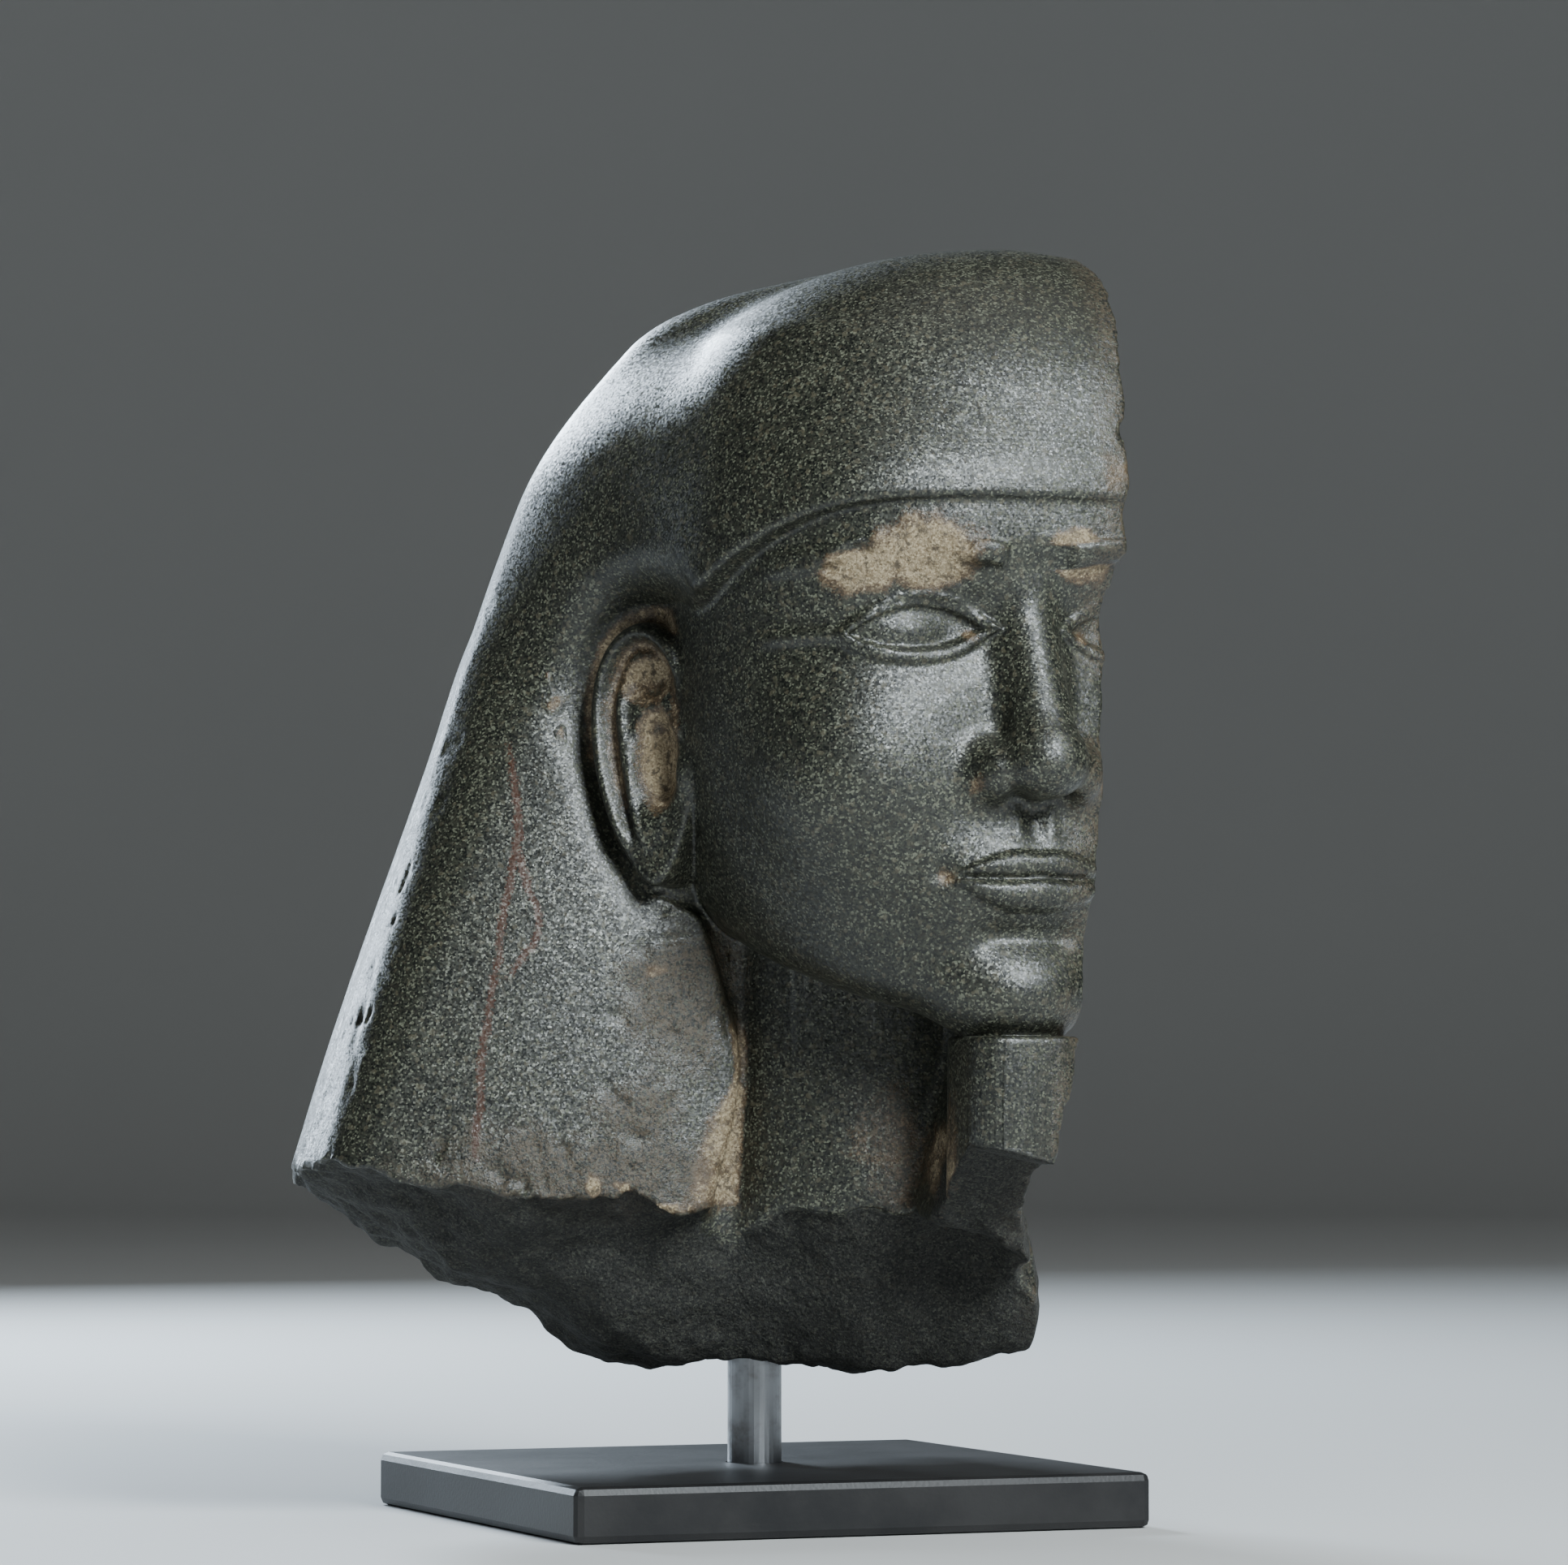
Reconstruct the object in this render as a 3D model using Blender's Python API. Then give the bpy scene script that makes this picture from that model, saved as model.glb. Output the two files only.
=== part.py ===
"""Carved stone head in a plain bag wig, broken down its left side and through the neck, on a steel rod
and a square foot. Metres, Z up. The origin is at the underside of the foot, on the rod's axis."""

import bpy
import numpy as np

# The stone's size in millimetres, from the chin to the top of the wig. Its forms below are shares of
# it, in units of which it has 116: one unit is one millimetre as built.
HEAD_HIGH = 116.0
UNITS = 116.0
UNIT = HEAD_HIGH / UNITS

# Places and sizes in those units. The head's own frame has x to the sitter's left, f to the front and
# z up from the chin. The face is three equal thirds high, with the eyes halfway up the whole head.
FACE_THIRD = 32.0
NOSE_Z = FACE_THIRD
BROW_Z = 2 * FACE_THIRD + 2.6
EYE_Z = 56.0
EYE_M = 17.0
EYE_HALF = 9.7
MOUTH_Z = 21.3
MOUTH_HALF = 12.6
WIG_EDGE_Z = 75.6
CROWN_HALF = 55.0
EAR_HIGH = 38.6
EAR_HALF = 8.6
EAR_AT = (41.6, 8.6, 40.2)
EAR_TURN = 51.0
EAR_LEAN = 7.0
EAR_TILT = 0.12
NECK_HALF = 30.0
LAPPET_EDGE = 29.0
BEARD_HALF = 8.5
BEARD_FRONT = 51.0
SIDE_BREAK_X = 8.2
BREAK_LOW_Z = -50.5
ROD_AT = (-18.0, 11.0)

# The mount in millimetres: the rod stands in blind holes in the stone and in the foot.
ROD_DIA = 8.0
ROD_IN_STONE = 35.5
ROD_SHOWS = 12.5
ROD_IN_FOOT = 5.2
FOOT_SIDE = 88.0
FOOT_THICK = 8.0
FOOT_EDGE = 1.2
ROD_EDGE = 0.5
GAP = 0.3
ROUND_SIDES = 32
STONE_BOTTOM = FOOT_THICK + ROD_SHOWS
ROD_BOTTOM = FOOT_THICK - ROD_IN_FOOT
ROD_TOP = STONE_BOTTOM + ROD_IN_STONE

# The solid's fineness: the grid and its step in units, and the triangles left of what it gives. The
# face keeps a little more of them than the rest.
GRID_LOW = (-100.0, -70.0, -62.0)
GRID_HIGH = (44.0, 74.0, 124.0)
CELL = 1.0
STONE_TRIANGLES = 9000
FACE_SHARE = 0.95


# Smooth joins and cuts of signed fields, negative inside.
def join(a, b, blend):
    h = np.clip(0.5 + 0.5 * (b - a) / blend, 0.0, 1.0)
    return b + (a - b) * h - blend * h * (1.0 - h)


def common(a, b, blend):
    return -join(-a, -b, blend)


def cut(a, b, blend):
    return -join(-a, b, blend)


def step(x, low, high):
    t = np.clip((x - low) / (high - low), 0.0, 1.0)
    return t * t * (3.0 - 2.0 * t)


def bump(d, width):
    return np.exp(-((d / width) ** 2))


def through(z, *knots):
    """A smooth curve through (z, value) knots."""
    at = np.array([k[0] for k in knots], float)
    value = np.array([k[1] for k in knots], float)
    slope = np.gradient(value, at)
    i = np.clip(np.searchsorted(at, z) - 1, 0, len(at) - 2)
    w = at[i + 1] - at[i]
    t = np.clip((z - at[i]) / w, 0.0, 1.0)
    first = (2 * t**3 - 3 * t**2 + 1) * value[i] + (t**3 - 2 * t**2 + t) * w * slope[i]
    return first + (3 * t**2 - 2 * t**3) * value[i + 1] + (t**3 - t**2) * w * slope[i + 1]


def ellipsoid(x, y, z, centre, radii):
    px, py, pz = x - centre[0], y - centre[1], z - centre[2]
    a, b, c = radii
    k = np.sqrt((px / a) ** 2 + (py / b) ** 2 + (pz / c) ** 2)
    g = np.sqrt((px / a**2) ** 2 + (py / b**2) ** 2 + (pz / c**2) ** 2)
    return k * (k - 1.0) / np.maximum(g, 1e-6)


def capsule(x, y, z, start, end, ra, rb):
    dx, dy, dz = end[0] - start[0], end[1] - start[1], end[2] - start[2]
    t = (x - start[0]) * dx + (y - start[1]) * dy + (z - start[2]) * dz
    t = np.clip(t / (dx * dx + dy * dy + dz * dz), 0.0, 1.0)
    px, py, pz = x - start[0] - t * dx, y - start[1] - t * dy, z - start[2] - t * dz
    return np.sqrt(px**2 + py**2 + pz**2) - (ra + (rb - ra) * t)


def section(a, b, half_width, half_depth, power):
    """The field of a superellipse outline, of about one unit a millimetre."""
    k = (np.abs(a) / half_width) ** power + (np.abs(b) / half_depth) ** power
    k = np.maximum(k, 1e-9) ** (1.0 / power)
    return (k - 1.0) * np.minimum(half_width, half_depth)


def lattice(i, j, k, seed):
    h = (i * 374761393 + j * 668265263 + k * 2147483647 + seed * 974634777) & 0xFFFFFFFF
    h = ((h ^ (h >> 13)) * 1274126177) & 0xFFFFFFFF
    return ((h ^ (h >> 16)) & 0xFFFF) / 32767.5 - 1.0


def noise(x, y, z, size, seed):
    """Smooth bumps from -1 to 1, about size apart."""
    p = [c / size + seed * 17.31 for c in (x, y, z)]
    cell = [np.floor(c).astype(np.int64) for c in p]
    f = [c - k for c, k in zip(p, cell)]
    f = [t * t * (3 - 2 * t) for t in f]
    total = 0.0
    for i in (0, 1):
        for j in (0, 1):
            for k in (0, 1):
                w = (f[0] if i else 1 - f[0]) * (f[1] if j else 1 - f[1]) * (f[2] if k else 1 - f[2])
                total = total + w * lattice(cell[0] + i, cell[1] + j, cell[2] + k, seed)
    return total


def fractal(x, y, z, size, seed, octaves):
    total = 0.0
    for k in range(octaves):
        total = total + 0.5**k * noise(x, y, z, size / 2**k, seed + k)
    return total


# The forms of the head: m is the distance from its middle, f to the front, z up.
def face_mass(m, f, z):
    half = through(
        z, (-4, 12), (0, 17), (4, 23), (10, 29), (20, 34.5), (32, 38), (45, 39.5), (56, 39.3),
        (66, 39), (76, 37.5), (85, 33), (95, 26),
    )
    front = through(
        z, (-4, 40), (0, 45.0), (5, 48.0), (12, 48.2), (20, 48.8), (32, 49.3), (45, 49.3),
        (56, 48.6), (64, 50.6), (75, 51.2), (79, 50.4), (87, 45), (95, 37),
    )
    power = through(z, (-4, 2.05), (20, 2.3), (40, 2.55), (64, 2.5), (95, 2.4))
    d = section(m, f - 12.0, half, front - 12.0, power)
    under = (-1.0 + 0.40 * np.clip(44.0 - f, 0, 60) - z) * 0.9
    d = common(d, under, 6.0)
    return common(d, z - 97.0, 4.0)


def neck(m, f, z):
    d = section(m, f + 3.0, NECK_HALF - 0.02 * z, 27.0 - 0.05 * z, 2.1)
    return common(d, z - 40.0, 3.0)


def crown(x, f, z):
    """The wig over the skull. Its highest stretch lies to the sitter's left."""
    m = np.abs(x - 10.0)
    reach = np.where(f > 8.0, 45.0, 49.0)
    q = (m / CROWN_HALF) ** 2.1 + (np.abs(f - 8.0) / reach) ** 2.2
    q = q ** (2.5 / 2.2) + (np.abs(z - 62.0) / (UNITS - 62.6 - 0.04 * m)) ** 2.5
    return (q ** (1 / 2.5) - 1.0) * 45.0


def wings(m, f, z):
    half = through(
        z, (-60, 100.5), (-20, 87.3), (-5, 82.6), (40, 66.7), (60, 59.8), (78, 50.0), (90, 44.4),
        (96, 42.0), (100, 41.2), (104, 40.2), (107.5, 37.0), (110.5, 31), (113, 20), (118, 2),
    )
    front = through(z, (-60, 16), (-20, 14.5), (0, 13), (20, 10.5), (40, 6.5), (70, 2), (90, 0), (118, -10))
    drop = through(z, (-60, 17), (-20, 15.5), (40, 13), (90, 11), (118, 8))
    back = through(z, (-60, 60), (-20, 57), (20, 55), (60, 50), (90, 41), (105, 31), (118, 12))
    r = np.minimum(m / half, 1.4)
    face = (f - front + drop * r**3) / np.sqrt(1 + (3 * drop * r**2 / half) ** 2)
    side = (m - half + 0.22 * np.clip(-f - 15, 0, 60)) * 0.93
    rear = (-f - back + 9.0 * r**2)
    d = common(face, side, through(z, (-20, 5.0), (40, 8.0), (90, 16.0)))
    d = common(d, rear, 20.0)
    return common(d, z - UNITS + 2.4, 5.0)


def wig(x, m, f, z):
    """Crown and wings. Round the face the wig keeps some thickness over forehead and temple."""
    soft = through(z, (40, 9.5), (55, 15), (68, 24), (82, 27), (94, 20), (103, 11), (110, 9.5))
    d = join(crown(x, f, z), wings(m, f, z), np.where(z > 40, soft, 9.5))
    thick = 0.7 + 1.6 * step(m, 10.0, 33.0)
    return join(d, common(face_mass(m, f, z) - thick, 52.0 - z, 4.0), 5.0)


def window(m, f, z):
    """The wig's opening: it climbs from behind the ear over the temple to the forehead."""
    edge = through(
        f, (6, 34), (10, 44), (17, 54.5), (27, 63.0), (36, 68.8), (45, 73.2), (60, WIG_EDGE_Z)
    )
    d = np.maximum((z - edge) * 0.75, 8.0 - f)
    inner = LAPPET_EDGE + through(z, (-30, 5.6), (-21, 3.5), (-14, 1.4), (-6, 0), (2, 0.6), (9, 3), (18, 6))
    return common(d, m - inner - 40.0 * step(z, 16.0, 30.0), 3.0)


def nose(m, f, z):
    d = capsule(m, f, z, (0, 45.6, 61), (0, 53.2, NOSE_Z + 7.8), 3.7, 4.9)
    d = join(d, ellipsoid(m, f, z, (0, 54.0, NOSE_Z + 5.2), (5.9, 5.6, 4.9)), 3.0)
    d = join(d, ellipsoid(m, f, z, (6.6, 49.8, NOSE_Z + 4.2), (3.3, 5.2, 4.3)), 1.6)
    return cut(d, ellipsoid(m, f, z, (3.6, 52.6, NOSE_Z - 0.4), (1.8, 3.0, 2.0)), 0.8)


def beard(m, f, z):
    d = section(m, f - BEARD_FRONT + 8.4, BEARD_HALF - 0.012 * z, 8.4, 3.2)
    return common(d, z + 0.6, 0.6)


def web(m, f, z):
    """The stone left between the beard and the neck."""
    half = 1.6 + 0.30 * np.clip(-z - 2, 0, 24)
    front = 41.0 - 0.25 * np.clip(-z - 6, 0, 40)
    d = np.maximum(m - half, np.maximum(f - front, 10.0 - f))
    return common(d, z - 8.0, 2.0)


def almond(m, z):
    """The eye's opening in the plane of the face, negative inside."""
    u = (m - EYE_M) / EYE_HALF
    middle = EYE_Z - 0.3 * u
    high = 3.7 * np.clip(1 - np.abs(u + 0.10) ** 2.2, -1, 1)
    low = 2.7 * np.clip(1 - np.abs(u) ** 2.4, -1, 1)
    return np.where(z > middle, (z - middle) - high, (middle - z) - low) * 0.85


def lip_relief(m, z):
    u = np.clip(m / MOUTH_HALF, 0, 1)
    line = MOUTH_Z + 0.35 * bump(m, 3.2) + 0.5 * u**3
    top = line + 4.4 * (1 - u**2.2) - 0.8 * bump(m, 2.0)
    foot = line - 5.0 * (1 - u**2.4)
    t = np.clip((z - line) / np.maximum(top - line, 0.3), 0, 1)
    s = np.clip((line - z) / np.maximum(line - foot, 0.3), 0, 1)
    up = np.where(z >= line, (1 - t**5) * (0.35 + 0.65 * np.sqrt(t + 0.02)) * 1.7, 0)
    low = np.where(z < line, (1 - s**5) * (0.35 + 0.65 * np.sqrt(s + 0.02)) * 2.1, 0)
    h = (up + low) * (1.0 - 0.55 * u**2) * (1 - step(m, 11.8, 12.8))
    return h - 0.9 * bump(z - line, 0.55) * (1 - step(m, 12.0, 13.5))


def front_relief(m, f, z):
    """The low carving on the front of the face, as a height over it."""
    a = almond(m, z)
    h = 0.75 * step(a, -0.35, 0.15) * (1 - step(a, 1.2, 1.8)) * (1 - step(m, 26.0, 27.5))
    h = h - 0.45 * (1 - step(a, -0.5, 0.0))
    crease = np.abs(z - (EYE_Z + 4.4 - 0.028 * (m - 15.5) ** 2))
    h = h - 0.45 * bump(crease, 0.7) * step(m, 7.0, 10.0) * (1 - step(m, 25.0, 28.5))
    tail = step(m, 24.5, 27.0) * (1 - step(m, 33.5, 35.5))
    h = h + 0.6 * tail * (1 - step(np.abs(z - EYE_Z + 0.4 + 0.05 * (m - 26)), 0.6, 1.15))
    arch = np.sin(np.clip((m - 5) / 26.0, 0, 1) * np.pi)
    brow = np.abs(z - BROW_Z - 1.6 * arch + 0.1 * np.clip(m - 22, 0, 20))
    h = h + 0.75 * (1 - step(brow, 1.2, 2.0)) * step(m, 4.2, 5.6) * (1 - step(m, 33.0, 35.5))
    h = h + lip_relief(m, z) * step(f, 30, 36)
    groove = step(z, NOSE_Z - 6.5, NOSE_Z - 4.5) * (1 - step(z, NOSE_Z - 1.5, NOSE_Z + 0.5))
    h = h + (0.25 * bump(m - 2.6, 1.0) - 0.45 * bump(m, 1.5)) * groove
    h = h - 1.4 * bump(z - 13.6, 2.2) * (1 - step(m, 4.0, 11.0))
    h = h - 0.9 * bump(np.sqrt((m - 13.2) ** 2 + (z - MOUTH_Z - 0.6) ** 2), 1.5)
    return h * step(f, 20, 28)


def face(m, f, z):
    d = face_mass(m, f, z)
    d = cut(d, ellipsoid(m, f, z, (15.5, 55.0, EYE_Z + 1.5), (14.0, 8.8, 6.4)), 5.0)
    d = join(d, nose(m, f, z), 3.6)
    d = join(d, ellipsoid(m, f, z, (EYE_M - 0.2, 36.6, EYE_Z), (11.8, 10.4, 7.6)), 1.4)
    d = join(d, ellipsoid(m, f, z, (20.0, 37.0, 36.0), (13.0, 10.0, 13.0)), 9.0)
    d = join(d, ellipsoid(m, f, z, (0.0, 41.8, 5.2), (9.5, 8.4, 6.2)), 6.0)
    d = join(d, ellipsoid(m, f, z, (0.0, 43.0, MOUTH_Z), (15.0, 7.6, 9.0)), 6.0)
    return d - front_relief(m, f, z)


def ear_place(m, f, z):
    """Places on the ear: w runs back along it, n out of it and h up; deep is how far in from its rim."""
    turn, lean = np.radians(EAR_TURN), np.radians(EAR_LEAN)
    a, b, c = m - EAR_AT[0], f - EAR_AT[1], z - EAR_AT[2]
    w0 = a * np.cos(turn) - b * np.sin(turn)
    n = a * np.sin(turn) + b * np.cos(turn) + EAR_TILT * c
    w = w0 * np.cos(lean) - c * np.sin(lean)
    h = c * np.cos(lean) + w0 * np.sin(lean)
    high = EAR_HIGH / 2
    up, down = np.clip(h / high, 0, 1), np.clip(-h / high, 0, 1)
    width = EAR_HALF * (1.0 + 0.24 * (up - down) - 0.10 * down**2)
    k = np.sqrt((w / width) ** 2 + (h / high) ** 2)
    g = np.sqrt((w / width**2) ** 2 + (h / high**2) ** 2)
    return w, n, h, -k * (k - 1) / np.maximum(g, 1e-4)


def ear_bed(m, f, z):
    """The hollow that the ear lies in."""
    w, n, h, deep = ear_place(m, f, z)
    return common(-deep - 2.6 - 0.5 * np.clip(n, 0.0, 12.0), -0.6 - n, 2.0)


def ear(m, f, z):
    w, n, h, deep = ear_place(m, f, z)
    above = step(h, -17.0, -9.0)
    outer = np.maximum(step(w + 0.45 * h, -5.0, 0.0), step(h, 9.0, 14.0))
    relief = 2.0 + 0.02 * h
    relief = relief + 1.9 * bump(deep - 1.5, 1.25) * outer * (0.35 + 0.65 * above)
    relief = relief - 0.9 * bump(deep - 3.5, 0.9) * outer * above
    fold = step(w, -3.0, 1.0) * above * (1 - step(h, 7.0, 13.0))
    relief = relief + 1.0 * bump(deep - 5.4, 1.2) * fold
    bowl = np.sqrt(((w + 1.6) / 3.4) ** 2 + ((h + 2.0) / 7.4) ** 2)
    relief = relief - 3.4 * (1 - step(bowl, 0.45, 1.15))
    fork = np.sqrt(((w + 1.8) / 3.0) ** 2 + ((h - 9.2) / 3.4) ** 2)
    relief = relief - 1.3 * (1 - step(fork, 0.4, 1.2))
    relief = relief + 1.5 * bump(np.sqrt((w + 6.4) ** 2 + ((h + 3.5) / 1.6) ** 2), 2.0)
    relief = relief + 0.8 * bump(np.sqrt((w - 0.4) ** 2 + (h + 10.6) ** 2), 2.0)
    relief = relief + bump(np.sqrt((w + 5.5) ** 2 + ((h - 3.2 - 0.3 * (w + 5)) / 0.8) ** 2), 1.6)
    d = common(-deep, (n - relief) * 0.75, 1.0)
    return np.maximum(d, -n - 7.0)


def break_side(x, f, z, rough):
    """Everything past this face is lost: the sitter's left."""
    reach = SIDE_BREAK_X + 0.078 * (z - 5.0) + 0.10 * (45.0 - f) - 0.18 * np.clip(-z, 0, 22)
    reach = reach + 12.0 * step(-z, 10.0, 40.0) * bump(f - 16.0, 17.0) + 0.05 * np.clip(z - 88.0, 0, 30)
    corner = x * 0.55 + (z - UNITS) * 0.62 + (f - 30) * 0.10 - 12.1
    return np.maximum((x - reach) * 0.99, corner) + rough


def break_base(x, f, z, rough):
    """The break through neck and wings: steep behind the front edge, then a rounded belly."""
    r = -x
    edge = through(
        r, (-40, -31.0), (-6, -31.5), (2, -28.0), (12, -25.0), (25, -25.0), (36, -25.6), (50, -22.8),
        (62, -24.4), (75, -22.5), (88, -18.0), (110, -15.0),
    )
    belly = through(
        r, (-40, 12.0), (-16, 14.0), (-4, 18.0), (5, 22.5), (20, 24.0), (33, 23.0), (46, 20.0),
        (58, 13.0), (72, 8.0), (84, 1.5), (110, 0.0),
    )
    front = through(
        r, (-40, 34), (-12, 32), (0, 27), (12, 24), (22, 17), (28, 14), (45, 12), (60, 9),
        (75, 4), (88, -4), (110, -22),
    )
    fall = step(front - f, 0.0, 16.0) * step(f + 52.0, 0.0, 34.0)
    return (edge - belly * fall - z) * 0.6 + rough


def stone(x, y, z):
    """The whole carved and broken stone in the head's frame, y to the back."""
    f = -y
    m = np.abs(x)
    d = cut(wig(x, m, f, z), window(m, f, z), 0.8 + 2.4 * (1 - step(z, 2.0, 14.0)))
    d = cut(d, ear_bed(m, f, z), 4.0)
    d = join(d, neck(m, f, z), 1.5)
    d = join(d, face(m, f, z), 0.4)
    d = join(d, ear(m, f, z), 0.8)
    rough = fractal(x, y, z, 15.0, 3, 2)
    d = join(d, web(m, f, z) + 0.7 * rough * step(-z, 8.0, 16.0), 2.0)
    foot = (-15.8 - 0.26 * (x + 8) - 0.9 * np.clip(46 - f, 0, 30) - z) * 0.75
    d = join(d, np.maximum(beard(m, f, z), foot + 0.5 * rough), 0.5)
    d = np.maximum(d, break_side(x, f, z, 0.9 * rough))
    return np.maximum(d, break_base(x, f, z, 1.4 * rough))


# The field's zero surface as a mesh, with one point in each grid cell that it crosses.
def sample(field, low, high, cell, block=8):
    """The field on a grid. Blocks far from the surface keep one value."""
    low = np.array(low, float)
    blocks = np.ceil((np.array(high) - low) / (cell * block)).astype(int)
    axes = [low[i] + cell * np.arange(blocks[i] * block) for i in range(3)]
    half = cell * block / 2
    coarse = field(*np.meshgrid(*[a[::block] + half - cell / 2 for a in axes], indexing="ij"))
    values = np.kron(coarse, np.ones((block, block, block))).astype(np.float32)
    near = np.argwhere(np.abs(coarse) < half * 2.0 + 3.0) * block
    inner = np.arange(block)
    for start in range(0, len(near), 300):
        ix, iy, iz = (near[start : start + 300, i, None] + inner for i in range(3))
        at = (ix[:, :, None, None], iy[:, None, :, None], iz[:, None, None, :])
        zero = np.zeros((1, block, block, block))
        values[at] = field(*(axes[i][at[i]] + zero for i in range(3)))
    return values, low


def shifted(values, offsets):
    """A view of the grid's corners at these offsets in each cell or cell face."""
    spans = [slice(o, n - 1 + o) if o >= 0 else slice(None) for o, n in zip(offsets, values.shape)]
    return values[tuple(spans)]


def untangle(values, cell):
    """Grid faces and cells whose corners alternate in sign would pinch the mesh, so they are opened."""
    for _ in range(30):
        found = 0
        for axis in range(3):
            ring = []
            for pair in ((0, 0), (1, 0), (1, 1), (0, 1)):
                at = list(pair)
                at.insert(axis, -1)
                ring.append(shifted(values, at))
            a, b, c, d = (v < 0 for v in ring)
            mixed = (a == c) & (b == d) & (a != b)
            found += int(mixed.sum())
            for v in ring:
                v[mixed & (v < 0)] = 0.1 * cell
        corners = [(i, j, k) for i in (0, 1) for j in (0, 1) for k in (0, 1)]
        count = sum((shifted(values, at) < 0).astype(int) for at in corners)
        for at in corners[:4]:
            v = shifted(values, at)
            w = shifted(values, [1 - o for o in at])
            alone = ((count == 2) & (v < 0) & (w < 0)) | ((count == 6) & (v >= 0) & (w >= 0))
            found += int(alone.sum())
            for part in [shifted(values, each) for each in corners]:
                part[alone & (part < 0)] = 0.1 * cell
        if not found:
            return


def surface_net(values, low, cell):
    inside = values < 0
    shape = values.shape
    strides = np.array([shape[1] * shape[2], shape[2], 1])
    quads, points = [], []
    for axis in range(3):
        first, second = [slice(None)] * 3, [slice(None)] * 3
        first[axis], second[axis] = slice(0, -1), slice(1, None)
        at = np.argwhere(inside[tuple(first)] != inside[tuple(second)])
        after = at.copy()
        after[:, axis] += 1
        v0, v1 = values[tuple(at.T)], values[tuple(after.T)]
        crossing = at.astype(float)
        crossing[:, axis] += v0 / (v0 - v1)
        corners = []
        for d1, d2 in ((-1, -1), (0, -1), (0, 0), (-1, 0)):
            cell_at = at.copy()
            cell_at[:, (axis + 1) % 3] += d1
            cell_at[:, (axis + 2) % 3] += d2
            corners.append(cell_at @ strides)
        corners = np.stack(corners, 1)
        corners[v0 >= 0] = corners[v0 >= 0][:, ::-1]
        quads.append(corners)
        points.append(np.repeat(crossing, 4, 0))
    quads, points = np.concatenate(quads), np.concatenate(points)
    _, index = np.unique(quads.ravel(), return_inverse=True)
    count = np.bincount(index)
    verts = np.stack([np.bincount(index, points[:, i]) / count for i in range(3)], 1)
    return verts * cell + low, index.reshape(-1, 4)


def settle(field, verts, reach):
    """Each point moved onto the surface."""
    h = 0.05
    x, y, z = verts.T
    g = [
        field(x + h, y, z) - field(x - h, y, z),
        field(x, y + h, z) - field(x, y - h, z),
        field(x, y, z + h) - field(x, y, z - h),
    ]
    g = np.stack(g, 1) / (2 * h)
    move = -(field(x, y, z) / np.maximum(np.sum(g * g, 1), 0.05))[:, None] * g
    length = np.linalg.norm(move, axis=1, keepdims=True)
    return verts + move * np.minimum(1.0, reach / np.maximum(length, 1e-9))


def largest_body(verts, faces):
    """The biggest connected piece: crumbs that the rough breaks set free are dropped."""
    label = np.arange(len(verts))
    while True:
        low = label[faces].min(1)
        after = label.copy()
        for i in range(4):
            np.minimum.at(after, faces[:, i], low)
        after = after[after]
        if (after == label).all():
            break
        label = after
    keep = label[faces[:, 0]] == np.bincount(label[faces[:, 0]]).argmax()
    used, index = np.unique(faces[keep], return_inverse=True)
    return verts[used], index.reshape(-1, 4)


def material(name, colour, metallic, roughness):
    made = bpy.data.materials.new(name)
    made.use_nodes = True
    shader = made.node_tree.nodes["Principled BSDF"]
    shader.inputs["Base Color"].default_value = (*colour, 1.0)
    shader.inputs["Metallic"].default_value = metallic
    shader.inputs["Roughness"].default_value = roughness
    made.diffuse_color = (*colour, 1.0)
    return made


def add(name, verts, faces, mat=None):
    mesh = bpy.data.meshes.new(name)
    mesh.from_pydata([tuple(v) for v in verts], [], [tuple(int(i) for i in f) for f in faces])
    mesh.update()
    if mat:
        mesh.materials.append(mat)
    obj = bpy.data.objects.new(name, mesh)
    bpy.context.scene.collection.objects.link(obj)
    return obj


def cylinder(name, radius, low, high, mat=None):
    """A round bar on the rod's axis."""
    sides = ROUND_SIDES
    turn = np.arange(sides) * 2 * np.pi / sides
    ring = np.stack([np.cos(turn), np.sin(turn)], 1) * radius
    verts = [(x, y, z) for z in (low, high) for x, y in ring]
    faces = [(i, (i + 1) % sides, (i + 1) % sides + sides, i + sides) for i in range(sides)]
    faces.append(tuple(range(sides - 1, -1, -1)))
    faces.append(tuple(range(sides, 2 * sides)))
    return add(name, np.array(verts) * 0.001, faces, mat)


def bore(obj, cutter):
    cutter.hide_render = True
    cutter.display_type = "WIRE"
    modifier = obj.modifiers.new("bore", "BOOLEAN")
    modifier.object = cutter
    modifier.operation = "DIFFERENCE"
    modifier.solver = "EXACT"


def bevel(obj, width):
    modifier = obj.modifiers.new("edges", "BEVEL")
    modifier.width = width * 0.001
    modifier.segments = 2
    modifier.limit_method = "ANGLE"


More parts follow.
